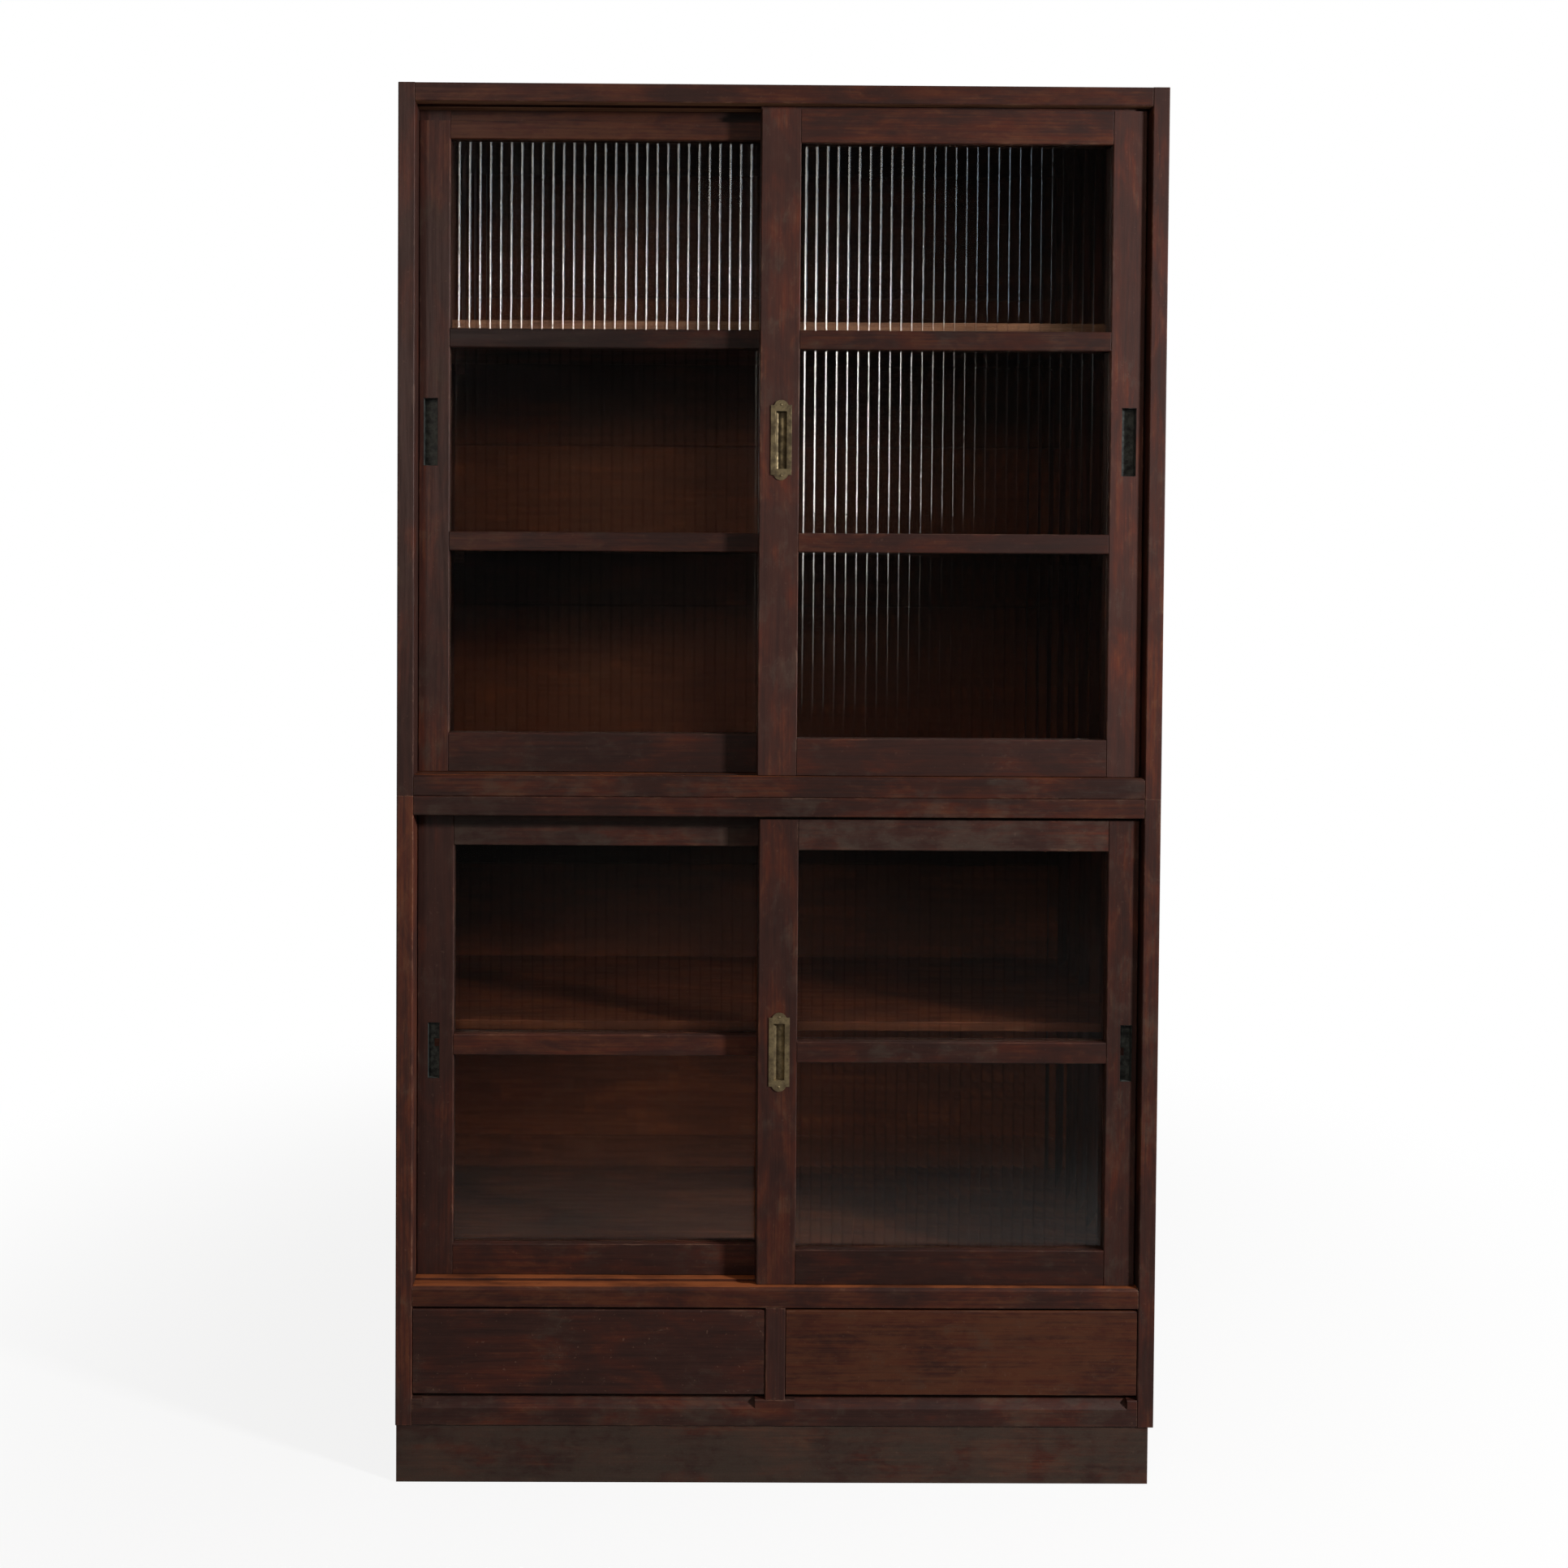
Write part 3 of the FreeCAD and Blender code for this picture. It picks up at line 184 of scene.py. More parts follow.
def timber_finish(
    name, pore, body, red, amber, bare, film, gloss, relief_depth, shelves=(), outside=None
):
    """Sawn and planed wood: fibres along each board, stain that has taken and worn unevenly, rubbed
    edges and a film of dust. A board's own box, direction and wear are read from its mesh. Under
    shelves, given as a height and how far below it to reach, a painted shade darkens it, deeper
    towards the left. Outside is the colour of its weathered back, where that was left bare."""
    finish, shade = new_finish(name)
    place = shade.node("TexCoord", None, None, 3)
    along = shade.attribute("along")
    wear = shade.attribute("wear")
    history = shade.attribute("history")
    own = place + shade.attribute("seed")
    run = own.node("VectorMath", {"operation": "DOT_PRODUCT"}, {0: own, 1: along}, 1)
    lengthwise = along.node("VectorMath", {"operation": "SCALE"}, {0: along, "Scale": run})
    across = own - lengthwise
    fibres = shade.noise(across * 330.0 + lengthwise * 7.0, 1.0, 5.0, 0.68)
    hairs = shade.noise(across * 1300.0 + lengthwise * 45.0, 1.0, 2.0, 0.5)
    sway = shade.noise(across * 26.0 + lengthwise * 1.6, 1.0, 2.0, 0.5)
    growth = shade.node("Math", {"operation": "SINE"}, {0: sway * 60.0}) * 0.5 + 0.5
    patches = shade.noise(across * 24.0 + lengthwise * 9.0, 1.0, 4.0, 0.62, 0.5)
    blotches = shade.noise(across * 110.0 + lengthwise * 42.0, 1.0, 4.0, 0.66, 0.6)
    clouds = shade.noise(own, 17.0, 5.0, 0.65, 0.3)
    specks = shade.noise(own, 520.0, 3.0, 0.6)

    streak = (fibres * 0.56 + growth * 0.12 + hairs * 0.32).band(0.34, 0.64)
    depth = streak * 0.56 + blotches.band(0.2, 0.8) * 0.2 + clouds.band(0.3, 0.7) * 0.24
    tone = shade.colour(*pore).blend(shade.colour(*body), depth)
    redness = (patches + wear.part(0) * 0.4 - 0.2).band(0.4, 0.68)
    tone = tone.blend(shade.colour(*red), redness * (0.3 + streak * 0.6))
    glow = patches * 0.4 + blotches * 0.3 + fibres * 0.3 + wear.part(0) * 0.24 - 0.12
    tone = tone.blend(shade.colour(*amber), glow.band(0.5, 0.68) * 0.55)
    greyed = (clouds * 0.6 + blotches * 0.4 + wear.part(1) * 0.4 - 0.2).band(0.44, 0.66)
    tone = tone.blend(shade.colour(*film), greyed * (0.2 + specks * 0.5))

    lines = shade.noise(own, 34.0, 1.5, 0.5, 1.4) - 0.5
    line = 1.0 - shade.node("Math", {"operation": "ABSOLUTE"}, {0: lines}).band(0.001, 0.006)
    scratched = history.part(2)
    scratch = line * (clouds * 0.5 + blotches * 0.5).band(0.5, 0.62) * (0.25 + 0.75 * scratched)
    nicks = shade.noise(own, 210.0, 2.0, 0.5).band(0.69, 0.74) * (0.35 + 0.65 * scratched)
    tone = tone.blend(shade.colour(*bare), scratch.most(nicks) * 0.35)

    low = shade.attribute("low")
    high = shade.attribute("high")
    inward = (place - low).least(high - place)
    x, y, z = (inward.part(axis) for axis in range(3))
    edge = x.least(y).most(x.most(y).least(z))
    reach = 0.0008 + 0.004 * blotches.band(0.5, 0.8)
    worn = (1.0 - edge.band(0.0002, reach)) * (0.15 + 0.85 * fibres.band(0.4, 0.62)) * wear.part(2)
    front = (1.0 - (place - low).part(1).band(0.0015, 0.004)) * history.part(0)
    tone = tone.blend(shade.colour(*bare), (worn * 0.5).most(front * (0.45 + 0.55 * streak)))
    # Painted light: faces turned down are painted pale, as light bounced up onto them, and faces
    # turned up are painted orange, partly rubbed wear and partly light from above.
    facing = shade.node("TexCoord", None, None, 1)
    upward = facing.part(2)
    under_and_top_light = shade.attribute("under", 2)
    under = (1.0 - upward.band(-0.95, -0.8)) * under_and_top_light.most(0.0)
    tone = tone.blend(shade.colour(*underside_bounce_light), under * (0.4 + 0.6 * streak))
    rubbed = upward.band(0.8, 0.95) * (0.0 - under_and_top_light).most(0.0)
    tone = tone.blend(shade.colour(*rubbed_and_lit_orange), rubbed * (0.3 + 0.7 * patches.band(0.35, 0.65)))
    # Painted shade: below each shelf the wood is darkened where the shelf's shadow falls, more
    # towards the left.
    painted_shelf_shade = 0.0
    for height, reach_down in shelves:
        below = place.part(2) - height
        shaded = below.band(-reach_down, -0.35 * reach_down) * (1.0 - below.band(0.0, 0.01))
        painted_shelf_shade = shaded + painted_shelf_shade
    if shelves:
        tone = tone.blend(tone * 0.25, painted_shelf_shade * (0.6 + 0.4 * place.part(0).band(0.2, -0.25)))
    if outside:
        weathered = shade.colour(*outside) * (0.35 + 0.65 * depth)
        tone = tone.blend(weathered, facing.part(1).band(0.8, 0.95))
    tone = tone.node("VectorMath", {"operation": "SCALE"}, {0: tone, "Scale": history.part(1)})

    bumps = fibres * 0.5 + hairs * 0.25 + blotches * 0.5 + specks * 0.2
    bumps = bumps - scratch * 0.3 - nicks * 0.4
    relief = shade.node("Bump", None, {"Strength": 0.3, "Distance": relief_depth, "Height": bumps})
    polish = gloss + 0.18 * greyed + 0.12 * (1.0 - streak) - 0.08 * worn
    surface = shade.node(
        "BsdfPrincipled",
        None,
        {"Base Color": tone, "Roughness": polish, "Normal": relief, "Specular IOR Level": 0.12},
    )
    close_finish(shade, surface)
    return finish


stained = timber_finish(
    "stained_wood",
    pore=(0.026, 0.012, 0.01),
    body=(0.05, 0.0208, 0.0162),
    red=(0.085, 0.021, 0.0125),
    amber=(0.125, 0.047, 0.021),
    bare=(0.2, 0.11, 0.075),
    film=(0.06, 0.049, 0.036),
    gloss=0.4,
    relief_depth=0.0005,
)


same_place = 0.00001


def opened(node):
    """A bmesh of a CAD node. Its loose triangles are joined one board at a time, so that boards
    which touch stay apart: in the mesh, a board ends where its surface has closed."""
    work = bmesh.new()
    work.from_mesh(frame["nodes"][node].data)
    boards, corners, open_edges = [], [], set()
    for face in work.faces:
        corners += face.verts
        for edge in face.edges:
            open_edges ^= {frozenset(tuple(vert.co) for vert in edge.verts)}
        if not open_edges:
            boards.append(list(dict.fromkeys(corners)))
            corners = []
    for board in boards:
        bmesh.ops.remove_doubles(work, verts=board, dist=same_place)
    return work


def boards_of(work):
    """The separate boards in a mesh with their boxes, from the bottom up and then from the left."""
    waiting = set(work.verts)
    boards = []
    for first in work.verts:
        if first not in waiting:
            continue
        waiting.remove(first)
        board = [first]
        for vert in board:
            for edge in vert.link_edges:
                other = edge.other_vert(vert)
                if other in waiting:
                    waiting.remove(other)
                    board.append(other)
        low = Vector([min(vert.co[axis] for vert in board) for axis in range(3)])
        high = Vector([max(vert.co[axis] for vert in board) for axis in range(3)])
        boards.append((board, low, high))
    return sorted(boards, key=lambda item: [round(item[1][axis], 4) for axis in (2, 0, 1)])


flat = math.radians(1)
sharp = math.radians(30)
shortest_eased = 0.004


def timber(
    node, finish, red=0.4, grey=0.3, worn=0.5, front=0.0, tone=1.0, scratched=0.0, under=0.0,
    arris=0.0004,
):
    """Stands for a CAD node: its boards with eased arrises, each with its own grain. A tone may be
    given for each board, from the bottom up. Front is how far the front edge is rubbed pale. Under
    is how far the underside is painted pale as light bounced up onto it, or below 0 how far the top
    is painted orange, partly rubbed wear and partly painted light from above."""
    source = frame["nodes"][node]
    work = opened(node)
    bmesh.ops.dissolve_limit(
        work, angle_limit=flat, use_dissolve_boundaries=False, verts=work.verts, edges=work.edges
    )
    if arris:
        turned = [
            edge
            for edge in work.edges
            if edge.is_manifold and edge.is_convex and edge.calc_face_angle() > sharp
            and edge.calc_length() > shortest_eased
        ]
        bmesh.ops.bevel(
            work, geom=turned, offset=arris, offset_type="OFFSET", segments=2, profile=0.5,
            affect="EDGES", material=-1, clamp_overlap=True,
        )
    marks = {
        name: work.verts.layers.float_vector.new(name)
        for name in ("low", "high", "along", "seed", "wear", "history")
    }
    under_and_top_light_layer = work.verts.layers.float.new("under")
    chance = random.Random(node)
    boards = boards_of(work)
    tones = tone if isinstance(tone, tuple) else (tone,) * len(boards)
    for (board, low, high), own_tone in zip(boards, tones):
        size = high - low
        longest = max(range(3), key=lambda axis: size[axis])
        along = Vector([float(axis == longest) for axis in range(3)])
        seed = Vector([chance.uniform(1, 40) for axis in range(3)])
        wear = Vector((red + chance.uniform(-0.12, 0.12), grey + chance.uniform(-0.08, 0.08), worn))
        history = Vector((front, own_tone * chance.uniform(0.94, 1.06), scratched))
        kept = {"low": low, "high": high, "along": along, "seed": seed}
        kept.update(wear=wear, history=history)
        for vert in board:
            vert[under_and_top_light_layer] = under
            for name, value in kept.items():
                vert[marks[name]] = value
    mesh = bpy.data.meshes.new(node + "_timber")
    work.to_mesh(mesh)
    work.free()
    piece = bpy.data.objects.new(node + "_timber", mesh)
    bpy.context.scene.collection.objects.link(piece)
    mesh.materials.append(finish)
    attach(piece, source["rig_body"])
    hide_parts(node)
    return piece


timber("plinth_frame", stained, red=0.4, grey=0.75, worn=1.4, tone=0.82, arris=0.0008)


# Case sides: one solid board on each side of each unit, rebated at the back for the back boards.
# Oil-stained dark, with the most wear on the front arris, where hands pass.
for side, red, tone in (
    ("lower_left", 0.62, 1.03),
    ("lower_right", 0.5, 0.9),
    ("upper_left", 0.4, 0.86),
    ("upper_right", 0.5, 1.03),
):
    timber(f"{side}_side", stained, red=red, grey=0.35, worn=0.9, tone=tone)


# Rails across the front: the drawer rail with its scooped finger grooves, the post between the
# drawers, and the grooved head and sill rails on which the doors slide, polished by use.
timber("drawer_rail", stained, red=0.5, grey=0.4, worn=0.9, tone=0.88)
timber("drawer_divider", stained, red=0.35, grey=0.35, worn=0.7)
# The sill rails' tops are painted orange, partly rubbed wear and partly painted light from above;
# the head rails' undersides are painted pale, as painted light bounced up onto them.
timber("lower_sill_rail", stained, red=0.7, grey=0.2, worn=1.8, tone=0.75, under=-1.0, arris=0.0008)
timber("lower_head_rail", stained, red=0.45, grey=0.35, worn=0.7, under=1.0, tone=0.72)
timber("upper_sill_rail", stained, red=0.5, grey=0.35, worn=1.0, tone=0.65, under=-0.5)
timber("upper_head_rail", stained, red=0.75, grey=0.15, worn=0.9, under=1.0, tone=0.66)


# Inside: floors, tops and shelves, thinly stained and faded by the glass, on planed cleats.
# Dust lies on them, and their front edges are rubbed pale.
inner = timber_finish(
    "inner_wood",
    pore=(0.014, 0.0065, 0.0045),
    body=(0.06, 0.025, 0.016),
    red=(0.085, 0.028, 0.015),
    amber=(0.11, 0.045, 0.022),
    bare=(0.22, 0.105, 0.062),
    film=(0.075, 0.058, 0.046),
    gloss=0.55,
    relief_depth=0.0006,
)
for node in ("lower_top_board", "upper_floor_board", "upper_top_board"):
    timber(node, inner, red=0.35, grey=0.45, worn=0.3)
timber("upper_shelves", inner, red=0.6, grey=0.35, worn=0.8, front=1.0)
timber("shelf_cleats", inner, red=0.3, grey=0.4, worn=0.3)


# Back boards: wide boards laid across and nailed in the sides' rebates, with a warm thin stain that
# the lower unit's floor and shelf have too. Each board has its own darkness, the topmost darkest,
# and below each shelf this finish carries a painted shade, deeper towards the left.
warm = timber_finish(
    "warm_back_wood",
    pore=(0.05, 0.0155, 0.0078),
    body=(0.1, 0.029, 0.0135),
    red=(0.14, 0.034, 0.0125),
    amber=(0.19, 0.058, 0.02),
    bare=(0.24, 0.11, 0.055),
    film=(0.085, 0.052, 0.032),
    gloss=0.5,
    relief_depth=0.0006,
    shelves=((0.8, 0.34), (1.119, 0.16), (1.386, 0.13)),
    outside=(0.2, 0.12, 0.07),
)
for unit, red, grey, tone in (
    ("lower", 0.4, 0.2, (1.5, 1.85, 1.1, 0.5)),
    ("upper", 0.35, 0.25, (0.85, 0.85, 0.7, 0.42)),
):
    timber(f"{unit}_back_boards", warm, red=red, grey=grey, worn=0.2, tone=tone, arris=0.0012)
timber("lower_floor_board", warm, red=0.45, grey=0.5, worn=0.3, tone=1.0)
timber("lower_shelf", warm, red=0.5, grey=0.3, worn=0.3, tone=0.9)


# Unfinished wood: the tongues between the back boards, the bottom board and the runners of the
# drawers. It was never stained, and has gone brown with age.
raw = timber_finish(
    "raw_wood",
    pore=(0.05, 0.028, 0.016),
    body=(0.16, 0.095, 0.055),
    red=(0.17, 0.085, 0.045),
    amber=(0.24, 0.14, 0.075),
    bare=(0.3, 0.2, 0.12),
    film=(0.14, 0.12, 0.095),
    gloss=0.7,
    relief_depth=0.0008,
)
timber("lower_bottom_board", raw, red=0.3, grey=0.5, worn=0.2)
timber("drawer_runners", raw, red=0.3, grey=0.4, worn=0.4)


def sheets_of(node):
    """The boxes of the separate sheets in a CAD node, from the bottom up."""
    work = opened(node)
    boxes = [(low, high) for board, low, high in boards_of(work)]
    work.free()
    return boxes


def finished(work, name, body, finish):
    """An object of its own, from a mesh made here."""
    bmesh.ops.recalc_face_normals(work, faces=work.faces)
    mesh = bpy.data.meshes.new(name)
    work.to_mesh(mesh)
    work.free()
    mesh.materials.append(finish)
    piece = bpy.data.objects.new(name, mesh)
    bpy.context.scene.collection.objects.link(piece)
    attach(piece, body)
    return piece


tongue_end_gap, tongue_thickness, tongue_width = 0.002, 0.003, 0.006
for unit in ("lower", "upper"):
    work = bmesh.new()
    boards = sheets_of(f"{unit}_back_boards")
    for (low, lower_top), (upper_bottom, high) in zip(boards, boards[1:]):
        tongue = bmesh.ops.create_cube(work, size=1)["verts"]
        length = lower_top.x - low.x - 2 * tongue_end_gap
        bmesh.ops.scale(work, vec=(length, tongue_thickness, tongue_width), verts=tongue)
        middle = (low + high) / 2
        middle.z = (lower_top.z + upper_bottom.z) / 2
        bmesh.ops.translate(work, vec=middle, verts=tongue)
    finished(work, f"{unit}_back_tongues", "case", raw)


# Doors: stiles and rails joined by mortise and tenon, with tongues that run in the head grooves.
# The rails' red stain has worn to orange in places, and every arris towards the glass is pale.
doors = {
    "upper_left_door": {
        "left_stile": 0.84,
        "right_stile": 0.9,
        "top_rail": 0.6,
        "mid_rails": (0.5, 0.36),
        "bottom_rail": 0.6,
    },
    "upper_right_door": {
        "left_stile": 1.12,
        "right_stile": 1.15,
        "top_rail": 0.78,
        "mid_rails": (0.71, 0.52),
        "bottom_rail": 0.78,
    },
    "lower_left_door": {
        "left_stile": 0.84,
        "right_stile": 0.85,
        "top_rail": 0.8,
        "mid_rail": 0.78,
        "bottom_rail": 0.8,
    },
    "lower_right_door": {
        "left_stile": 0.82,
        "right_stile": 0.75,
        "top_rail": 0.88,
        "mid_rail": 0.7,
        "bottom_rail": 0.58,
    },
}
top_rail_stains = {"upper_left_door": (0.8, 0.05), "upper_right_door": (0.6, 0.25)}
for door, members in doors.items():
    for member, tone in members.items():
        red, grey = (0.42, 0.35) if member.endswith("stile") else (0.55, 0.3)
        if member == "top_rail":
            red, grey = top_rail_stains.get(door, (0.4, 0.6))
        timber(f"{door}_{member}", stained, red=red, grey=grey, worn=0.8, tone=tone)
    timber(f"{door}_beads", stained, red=0.3, grey=0.4, worn=0.3, arris=0.0006, tone=0.8)


# Glass: half-inch fluted panes, round in front and flat behind. Those at the top are deeply fluted;
# the others have the shallow flutes of a later, plainer glass, through which the inside is seen.
finish, shade = new_finish("fluted_glass")
place = shade.node("TexCoord", None, None, 3)
smears = shade.noise(place, 60.0, 3.0, 0.6)
grime = shade.attribute("valley", 2).band(0.35, 1.0) * smears.band(0.2, 0.6)
tint = shade.colour(0.86, 0.885, 0.86).blend(shade.colour(0.42, 0.4, 0.36), grime * 0.75)
clear = shade.node(
    "BsdfPrincipled",
    None,
    {"Base Color": tint, "Roughness": 0.05, "IOR": 1.5, "Transmission Weight": 1.0},
)
open_air = shade.node("BsdfTransparent", None, {"Color": (0.56, 0.54, 0.5)})
shadow_ray = shade.node("LightPath", None, None, 1)
pane_surface = shade.node("MixShader", None, {0: shadow_ray, 1: clear, 2: open_air})
close_finish(shade, pane_surface)
glass = finish

flute_pitch = 0.0127
crease = math.radians(6)


def fluted_pane(name, body, low, high, rise, grimy):
    """One pane: an arc spun for one flute, repeated across, drawn back to the flat and up. Its
    grime lies in the valleys between the flutes."""
    count = max(1, round((high.x - low.x) / flute_pitch))
    step = (high.x - low.x) / count
    radius = ((step / 2) ** 2 + rise**2) / (2 * rise)
    half = math.asin(step / 2 / radius)
    work = bmesh.new()
    start = work.verts.new((low.x, low.y + rise, low.z))
    bmesh.ops.spin(
        work, geom=[start], cent=(low.x + step / 2, low.y + radius, low.z), axis=(0, 0, 1),
        angle=2 * half, steps=12, use_merge=False,
    )
    flute = list(work.verts) + list(work.edges)
    for number in range(1, count):
        copy = bmesh.ops.duplicate(work, geom=flute)
        moved = [item for item in copy["geom"] if isinstance(item, bmesh.types.BMVert)]
        bmesh.ops.translate(work, verts=moved, vec=(number * step, 0, 0))
    bmesh.ops.remove_doubles(work, verts=work.verts, dist=same_place)
    drawn = bmesh.ops.extrude_edge_only(work, edges=work.edges)
    back = [item for item in drawn["geom"] if isinstance(item, bmesh.types.BMVert)]
    bmesh.ops.scale(work, vec=(1, 0, 1), space=Matrix.Translation((0, -high.y, 0)), verts=back)
    raised = bmesh.ops.extrude_face_region(work, geom=work.faces)
    top = [item for item in raised["geom"] if isinstance(item, bmesh.types.BMVert)]
    bmesh.ops.translate(work, verts=top, vec=(0, 0, high.z - low.z))
    bmesh.ops.recalc_face_normals(work, faces=work.faces)
    for face in work.faces:
        face.smooth = True
    for edge in work.edges:
        if edge.calc_face_angle(0) > crease:
            edge.smooth = False
    valley = work.verts.layers.float.new("valley")
    for vert in work.verts:
        in_front = vert.co.y < (low.y + rise + high.y) / 2
        vert[valley] = grimy * min(1.0, (vert.co.y - low.y) / rise) if in_front else 0.0
    return finished(work, name, body, glass)


# Of each pane from the bottom up: the rise of its flutes, and how grimy they are.
flutes = {
    "upper_left_door": ((0.00015, 1), (0.00015, 1), (0.001, 1)),
    "upper_right_door": ((0.00102, 1), (0.00102, 1), (0.00102, 1)),
    "lower_left_door": ((0.00014, 0.6), (0.00016, 0.9)),
    "lower_right_door": ((0.00042, 1), (0.00026, 0.9)),
}
for door in doors:
    node = f"{door}_panes"
    for number, (low, high) in enumerate(sheets_of(node)):
        rise, grimy = flutes[door][number]
        pane = fluted_pane(f"{node}_{number + 1}", door, low, high, rise, grimy)
        if number == 0:
            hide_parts(node)


# Brass pulls: a plate of sheet brass with lobed ends and a long cup pressed into it, pinned to the
# meeting stile of each front door. Brown with age, and brighter where fingers rub the rim.
finish, shade = new_finish("aged_brass")
place = shade.node("TexCoord", None, None, 3)
tarnish = shade.noise(place, 90.0, 5.0, 0.6)
scuffs = shade.noise(place, 600.0, 3.0, 0.6)
brown, yellow = shade.colour(0.08, 0.058, 0.032), shade.colour(0.22, 0.168, 0.09)
tone = brown.blend(yellow, tarnish.band(0.35, 0.7))
tone = tone.blend(shade.colour(0.05, 0.042, 0.03), scuffs.band(0.55, 0.8) * 0.6)
bumps = tarnish + scuffs * 0.4
relief = shade.node("Bump", None, {"Strength": 0.3, "Distance": 0.0003, "Height": bumps})
# Each pull's brass colour is scaled by a painted light, given per pull below.
brass_light_scale = shade.attribute("brass_light_scale", 2)
tone = tone.node("VectorMath", {"operation": "SCALE"}, {0: tone, "Scale": brass_light_scale})
polish = 0.45 + 0.25 * tarnish.band(0.7, 0.3)
surface = shade.node(
    "BsdfPrincipled",
    None,
    {"Base Color": tone, "Metallic": 0.85, "Roughness": polish, "Normal": relief},
)
close_finish(shade, surface)
brass = finish
rim_width, rim_length, rim_wall, rim_height = 0.0172, 0.0722, 0.0021, 0.0009
trough_sag, trough_half_width, trough_length, trough_depth = 0.0042, 0.0064, 0.0676, 0.0024
pin_radius, pin_inset = 0.0015, 0.0055
# Painted light: the lower pull's brass is painted brighter and the upper pull's darker, standing in
# for the light that falls on each.
for door, painted_light_scale in (("upper_right_door", 0.85), ("lower_right_door", 1.3)):
    node = f"{door}_brass_pull"
    plate = timber(node, brass, arris=0.0003)
    low, high = sheets_of(node)[0]
    middle = (low + high) / 2
    work = bmesh.new()

    # The rim round the cup: a flat ring, raised and rounded.
    bmesh.ops.create_grid(work, x_segments=1, y_segments=1, size=0.5)
    bmesh.ops.scale(work, vec=(rim_width, rim_length, 1), verts=work.verts)
    inner_face = work.faces[:]
    ring = bmesh.ops.inset_region(work, faces=inner_face, thickness=rim_wall)["faces"]
    bmesh.ops.delete(work, geom=inner_face, context="FACES")
    raised = bmesh.ops.extrude_face_region(work, geom=ring)["geom"]
    top = [item for item in raised if isinstance(item, bmesh.types.BMVert)]
    bmesh.ops.translate(work, vec=(0, 0, rim_height), verts=top)
    bmesh.ops.bevel(
        work, geom=work.edges, offset=0.0004, offset_type="OFFSET", segments=2, profile=0.5,
        affect="EDGES", material=-1, clamp_overlap=True,
    )
    upright = Matrix.Rotation(math.radians(90), 4, "X")
    on_plate = Matrix.Translation((middle.x, low.y, middle.z)) @ upright
    bmesh.ops.transform(work, matrix=on_plate, verts=work.verts)

    # The bottom of the cup: a long trough, spun and drawn up.
    radius = (trough_half_width**2 + trough_sag**2) / (2 * trough_sag)
    brim = low.y + trough_depth
    start = work.verts.new((middle.x - trough_half_width, brim, middle.z - trough_length / 2))
    bmesh.ops.spin(
        work, geom=[start], cent=(middle.x, brim + trough_sag - radius, start.co.z), axis=(0, 0, 1),
        angle=-2 * math.asin(trough_half_width / radius), steps=14, use_merge=False,
    )
    arc = [edge for edge in work.edges if not edge.link_faces]
    drawn = bmesh.ops.extrude_edge_only(work, edges=arc)["geom"]
    far = [item for item in drawn if isinstance(item, bmesh.types.BMVert)]
    bmesh.ops.translate(work, vec=(0, 0, trough_length), verts=far)

    # Two round-headed pins.
    for height in (low.z + pin_inset, high.z - pin_inset):
        pin = bmesh.ops.create_uvsphere(work, u_segments=16, v_segments=8, radius=pin_radius)
        bmesh.ops.scale(work, vec=(1, 0.5, 1), verts=pin["verts"])
        bmesh.ops.translate(work, vec=(middle.x, low.y, height), verts=pin["verts"])
    for face in work.faces:
        face.smooth = True
    trim = finished(work, f"{node}_trim", door, brass)
    for piece in (plate, trim):
        layer = piece.data.attributes.new("brass_light_scale", "FLOAT", "POINT")
        layer.data.foreach_set("value", [painted_light_scale] * len(piece.data.vertices))


# Recessed pulls: a slot for the fingertips in each outer stile, painted nearly black inside long
# ago, so that only the wall towards the window shows a little grey-green.
finish, shade = new_finish("slot_paint")
place = shade.node("TexCoord", None, None, 3)
rubbed = shade.noise(place, 160.0, 4.0, 0.6)
black, grey_green = shade.colour(0.012, 0.013, 0.013), shade.colour(0.07, 0.078, 0.072)
tone = black.blend(grey_green, rubbed.band(0.3, 0.75))
polish = 0.5 + 0.2 * rubbed
relief = shade.node("Bump", None, {"Strength": 0.3, "Distance": 0.0004, "Height": rubbed})
surface = shade.node(
    "BsdfPrincipled",
    None,
    {"Base Color": tone, "Roughness": polish, "Normal": relief, "Specular IOR Level": 0.2},
)
close_finish(shade, surface)
slot_paint = finish
slack, mouth_depth, paint_thickness = 0.0003, 0.0008, 0.0001
for opening in frame["record"]["physics"]["openings"]:
    if not opening["name"].endswith("_finger_pull"):
        continue
    low, high = (Vector(corner) for corner in opening["box_m"])
    low = low - Vector((slack, -mouth_depth, slack))
    high = high + Vector((slack, slack, slack))
    work = bmesh.new()
    bmesh.ops.create_cube(work, size=1)
    bmesh.ops.scale(work, vec=high - low, verts=work.verts)
    bmesh.ops.translate(work, vec=(low + high) / 2, verts=work.verts)
    mouth = [face for face in work.faces if face.calc_center_median().y < low.y + slack]
    bmesh.ops.delete(work, geom=mouth, context="FACES")
    bmesh.ops.solidify(work, geom=work.faces, thickness=paint_thickness)
    door = opening["name"].replace("_finger_pull", "_door")
    finished(work, opening["name"] + "_lining", door, slot_paint)


# Drawers: planed fronts grooved for their bottoms, with unstained sides, back and bottom. They have
# no pull: fingers reach under them in the rail's groove. The right front has kept more of its red.
for drawer, red, scratched, tone in (
    ("left_drawer", 0.28, 1.0, 0.75),
    ("right_drawer", 0.9, 0.3, 0.68),
):
    timber(f"{drawer}_front", stained, red=red, grey=0.3, worn=0.6, tone=tone, scratched=scratched)
    for member in ("sides", "back", "bottom"):
        timber(f"{drawer}_{member}", raw, red=0.3, grey=0.3, worn=0.3)


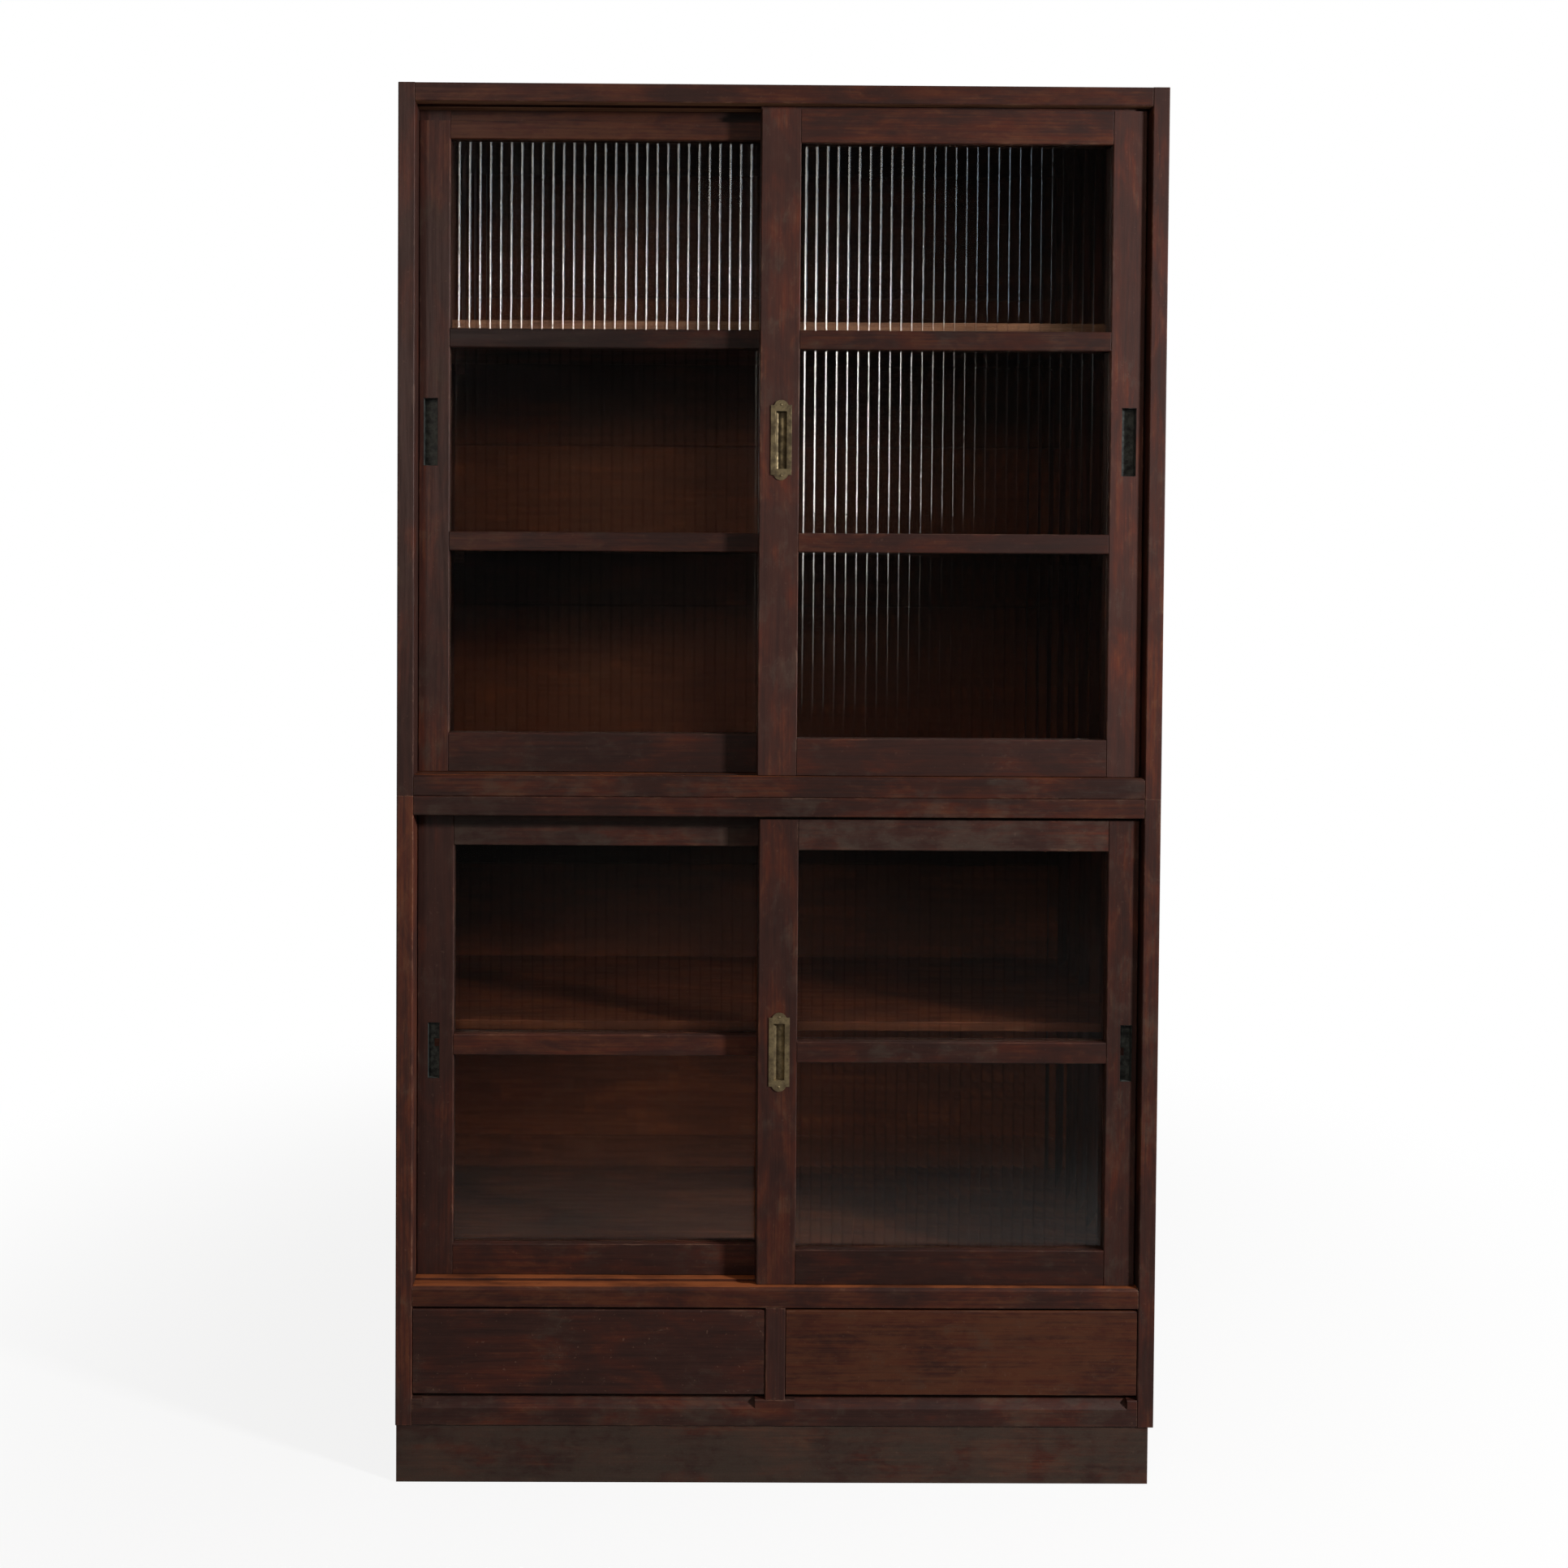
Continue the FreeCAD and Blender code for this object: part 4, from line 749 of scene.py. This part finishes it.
# Floor: a plain pale sheet under the cabinet, which takes its shadow. The eye sees it go over to
# white further out, and a dimmer one lights the wood and is mirrored in the glass.
finish, shade = new_finish("pale_floor")
place = shade.node("TexCoord", None, None, 3)
looked_at = shade.node("LightPath", None, None, 0)
mirrored = shade.node("LightPath", None, None, 3)
through = shade.node("LightPath", None, None, 6)
away = shade.node("VectorMath", {"operation": "LENGTH"}, {0: place}, 1)
behind = place.part(1).band(-0.4, 0.0)
bounced = shade.node("LightPath", None, None, 2)
near = place.part(1).band(-1.3, -0.6)
paper = shade.colour(0.04, 0.04, 0.04).blend(shade.colour(0.28, 0.28, 0.28), near)
paper = paper.blend(shade.colour(0.3, 0.29, 0.28), bounced)
paper = paper.blend(shade.colour(0.82, 0.82, 0.82), looked_at)
sheet = shade.node("BsdfDiffuse", None, {"Color": paper})
white = shade.node("Emission", None, {"Color": (1, 1, 1), "Strength": 1.0})
plain = looked_at.most(mirrored.most(through) * behind) * (0.86 + 0.14 * away.band(0.6, 1.8))
surface = shade.node("MixShader", None, {0: plain, 1: sheet, 2: white})
close_finish(shade, surface)
half_floor = 8
work = bmesh.new()
bmesh.ops.create_grid(work, x_segments=1, y_segments=1, size=half_floor)
mesh = bpy.data.meshes.new("floor")
work.to_mesh(mesh)
work.free()
mesh.materials.append(finish)
floor = bpy.data.objects.new("floor", mesh)
bpy.context.scene.collection.objects.link(floor)


# Lamps: a soft lamp at the right front, a high warm one for the shadows, narrow tall ones at the
# left that only draw lines in the deep flutes, and a dim room that is white only to the eye.
def lamp(
    name, place, target, width, height, watts, colour=(1, 1, 1), only_mirrored=False,
    never_mirrored=False,
):
    """A lamp with a rectangular face, which may be seen only in reflections or never in them."""
    light = bpy.data.lights.new(name, "AREA")
    light.color = colour
    light.shape = "RECTANGLE"
    light.size = width
    light.size_y = height
    light.energy = watts
    holder = bpy.data.objects.new(name, light)
    holder.location = place
    holder.rotation_euler = (Vector(target) - Vector(place)).to_track_quat("-Z", "Y").to_euler()
    holder.visible_camera = False
    holder.visible_diffuse = not only_mirrored
    holder.visible_glossy = not never_mirrored
    holder.visible_transmission = not (only_mirrored or never_mirrored)
    bpy.context.scene.collection.objects.link(holder)


cabinet_middle = (0, -0.1, 1.1)
lamp("right_front_lamp", (2.62, -1.76, 1.74), cabinet_middle, width=0.28, height=0.3, watts=135)

# Across the room, each narrow lamp is a row of faces, dimmer towards its ends: the height of a
# face's middle, its length and its strength.
far_wall = -4.17
for x, width, faces in (
    (-1.75, 0.45, (
        (0.63, 0.18, 0.12),
        (0.81, 0.18, 0.45),
        (0.99, 0.18, 1.25),
        (1.2, 0.24, 3.9),
        (1.82, 1.0, 38),
        (2.38, 0.12, 3.2),
        (2.5, 0.12, 2.1),
        (2.64, 0.16, 1.9),
        (2.81, 0.18, 1.5),
    )),
    (-1.4, 0.25, ((1.82, 1.0, 6.3), (2.61, 0.58, 1.4))),
):
    for z, height, watts in faces:
        lamp(
            "narrow_lamp", (x, far_wall, z), (0, -0.1, z - 0.2), width, height, watts,
            colour=(1, 0.95, 0.87), only_mirrored=True,
        )
lamp(
    "sky_strip", (-1.1, far_wall, 2.5), (0, -0.1, 2.2), width=0.25, height=0.8, watts=3.0,
    colour=(0.7, 0.85, 1), only_mirrored=True,
)
lamp(
    "high_lamp", (-1.0, -3.2, 2.7), cabinet_middle, width=1.2, height=0.8, watts=25,
    colour=(1, 0.8, 0.62), never_mirrored=True,
)

room = bpy.data.worlds.new("room")
bpy.context.scene.world = room
room.use_nodes = True
room.node_tree.nodes.clear()
shade = Shade(room.node_tree)
looked_at = shade.node("LightPath", None, None, 0)
through = shade.node("LightPath", None, None, 6)
mirrored = shade.node("LightPath", None, None, 3)
direction = shade.node("TexCoord", None, None, 0)
behind = direction.part(1).band(0.0, 0.3)
ceiling = direction.part(2).band(0.3, 0.8)
plain = looked_at.most(mirrored.most(through) * behind)
tone = shade.colour(0.008, 0.008, 0.008).blend(shade.colour(0.3, 0.3, 0.3), ceiling)
dim = shade.node("Background", None, {"Color": tone, "Strength": 1.0})
white = shade.node("Background", None, {"Color": (1, 1, 1), "Strength": 1.0})
surface = shade.node("MixShader", None, {0: plain, 1: dim, 2: white})
output = room.node_tree.nodes.new("ShaderNodeOutputWorld")
room.node_tree.links.new(surface.socket, output.inputs["Surface"])

bpy.context.scene.view_settings.view_transform = "Standard"
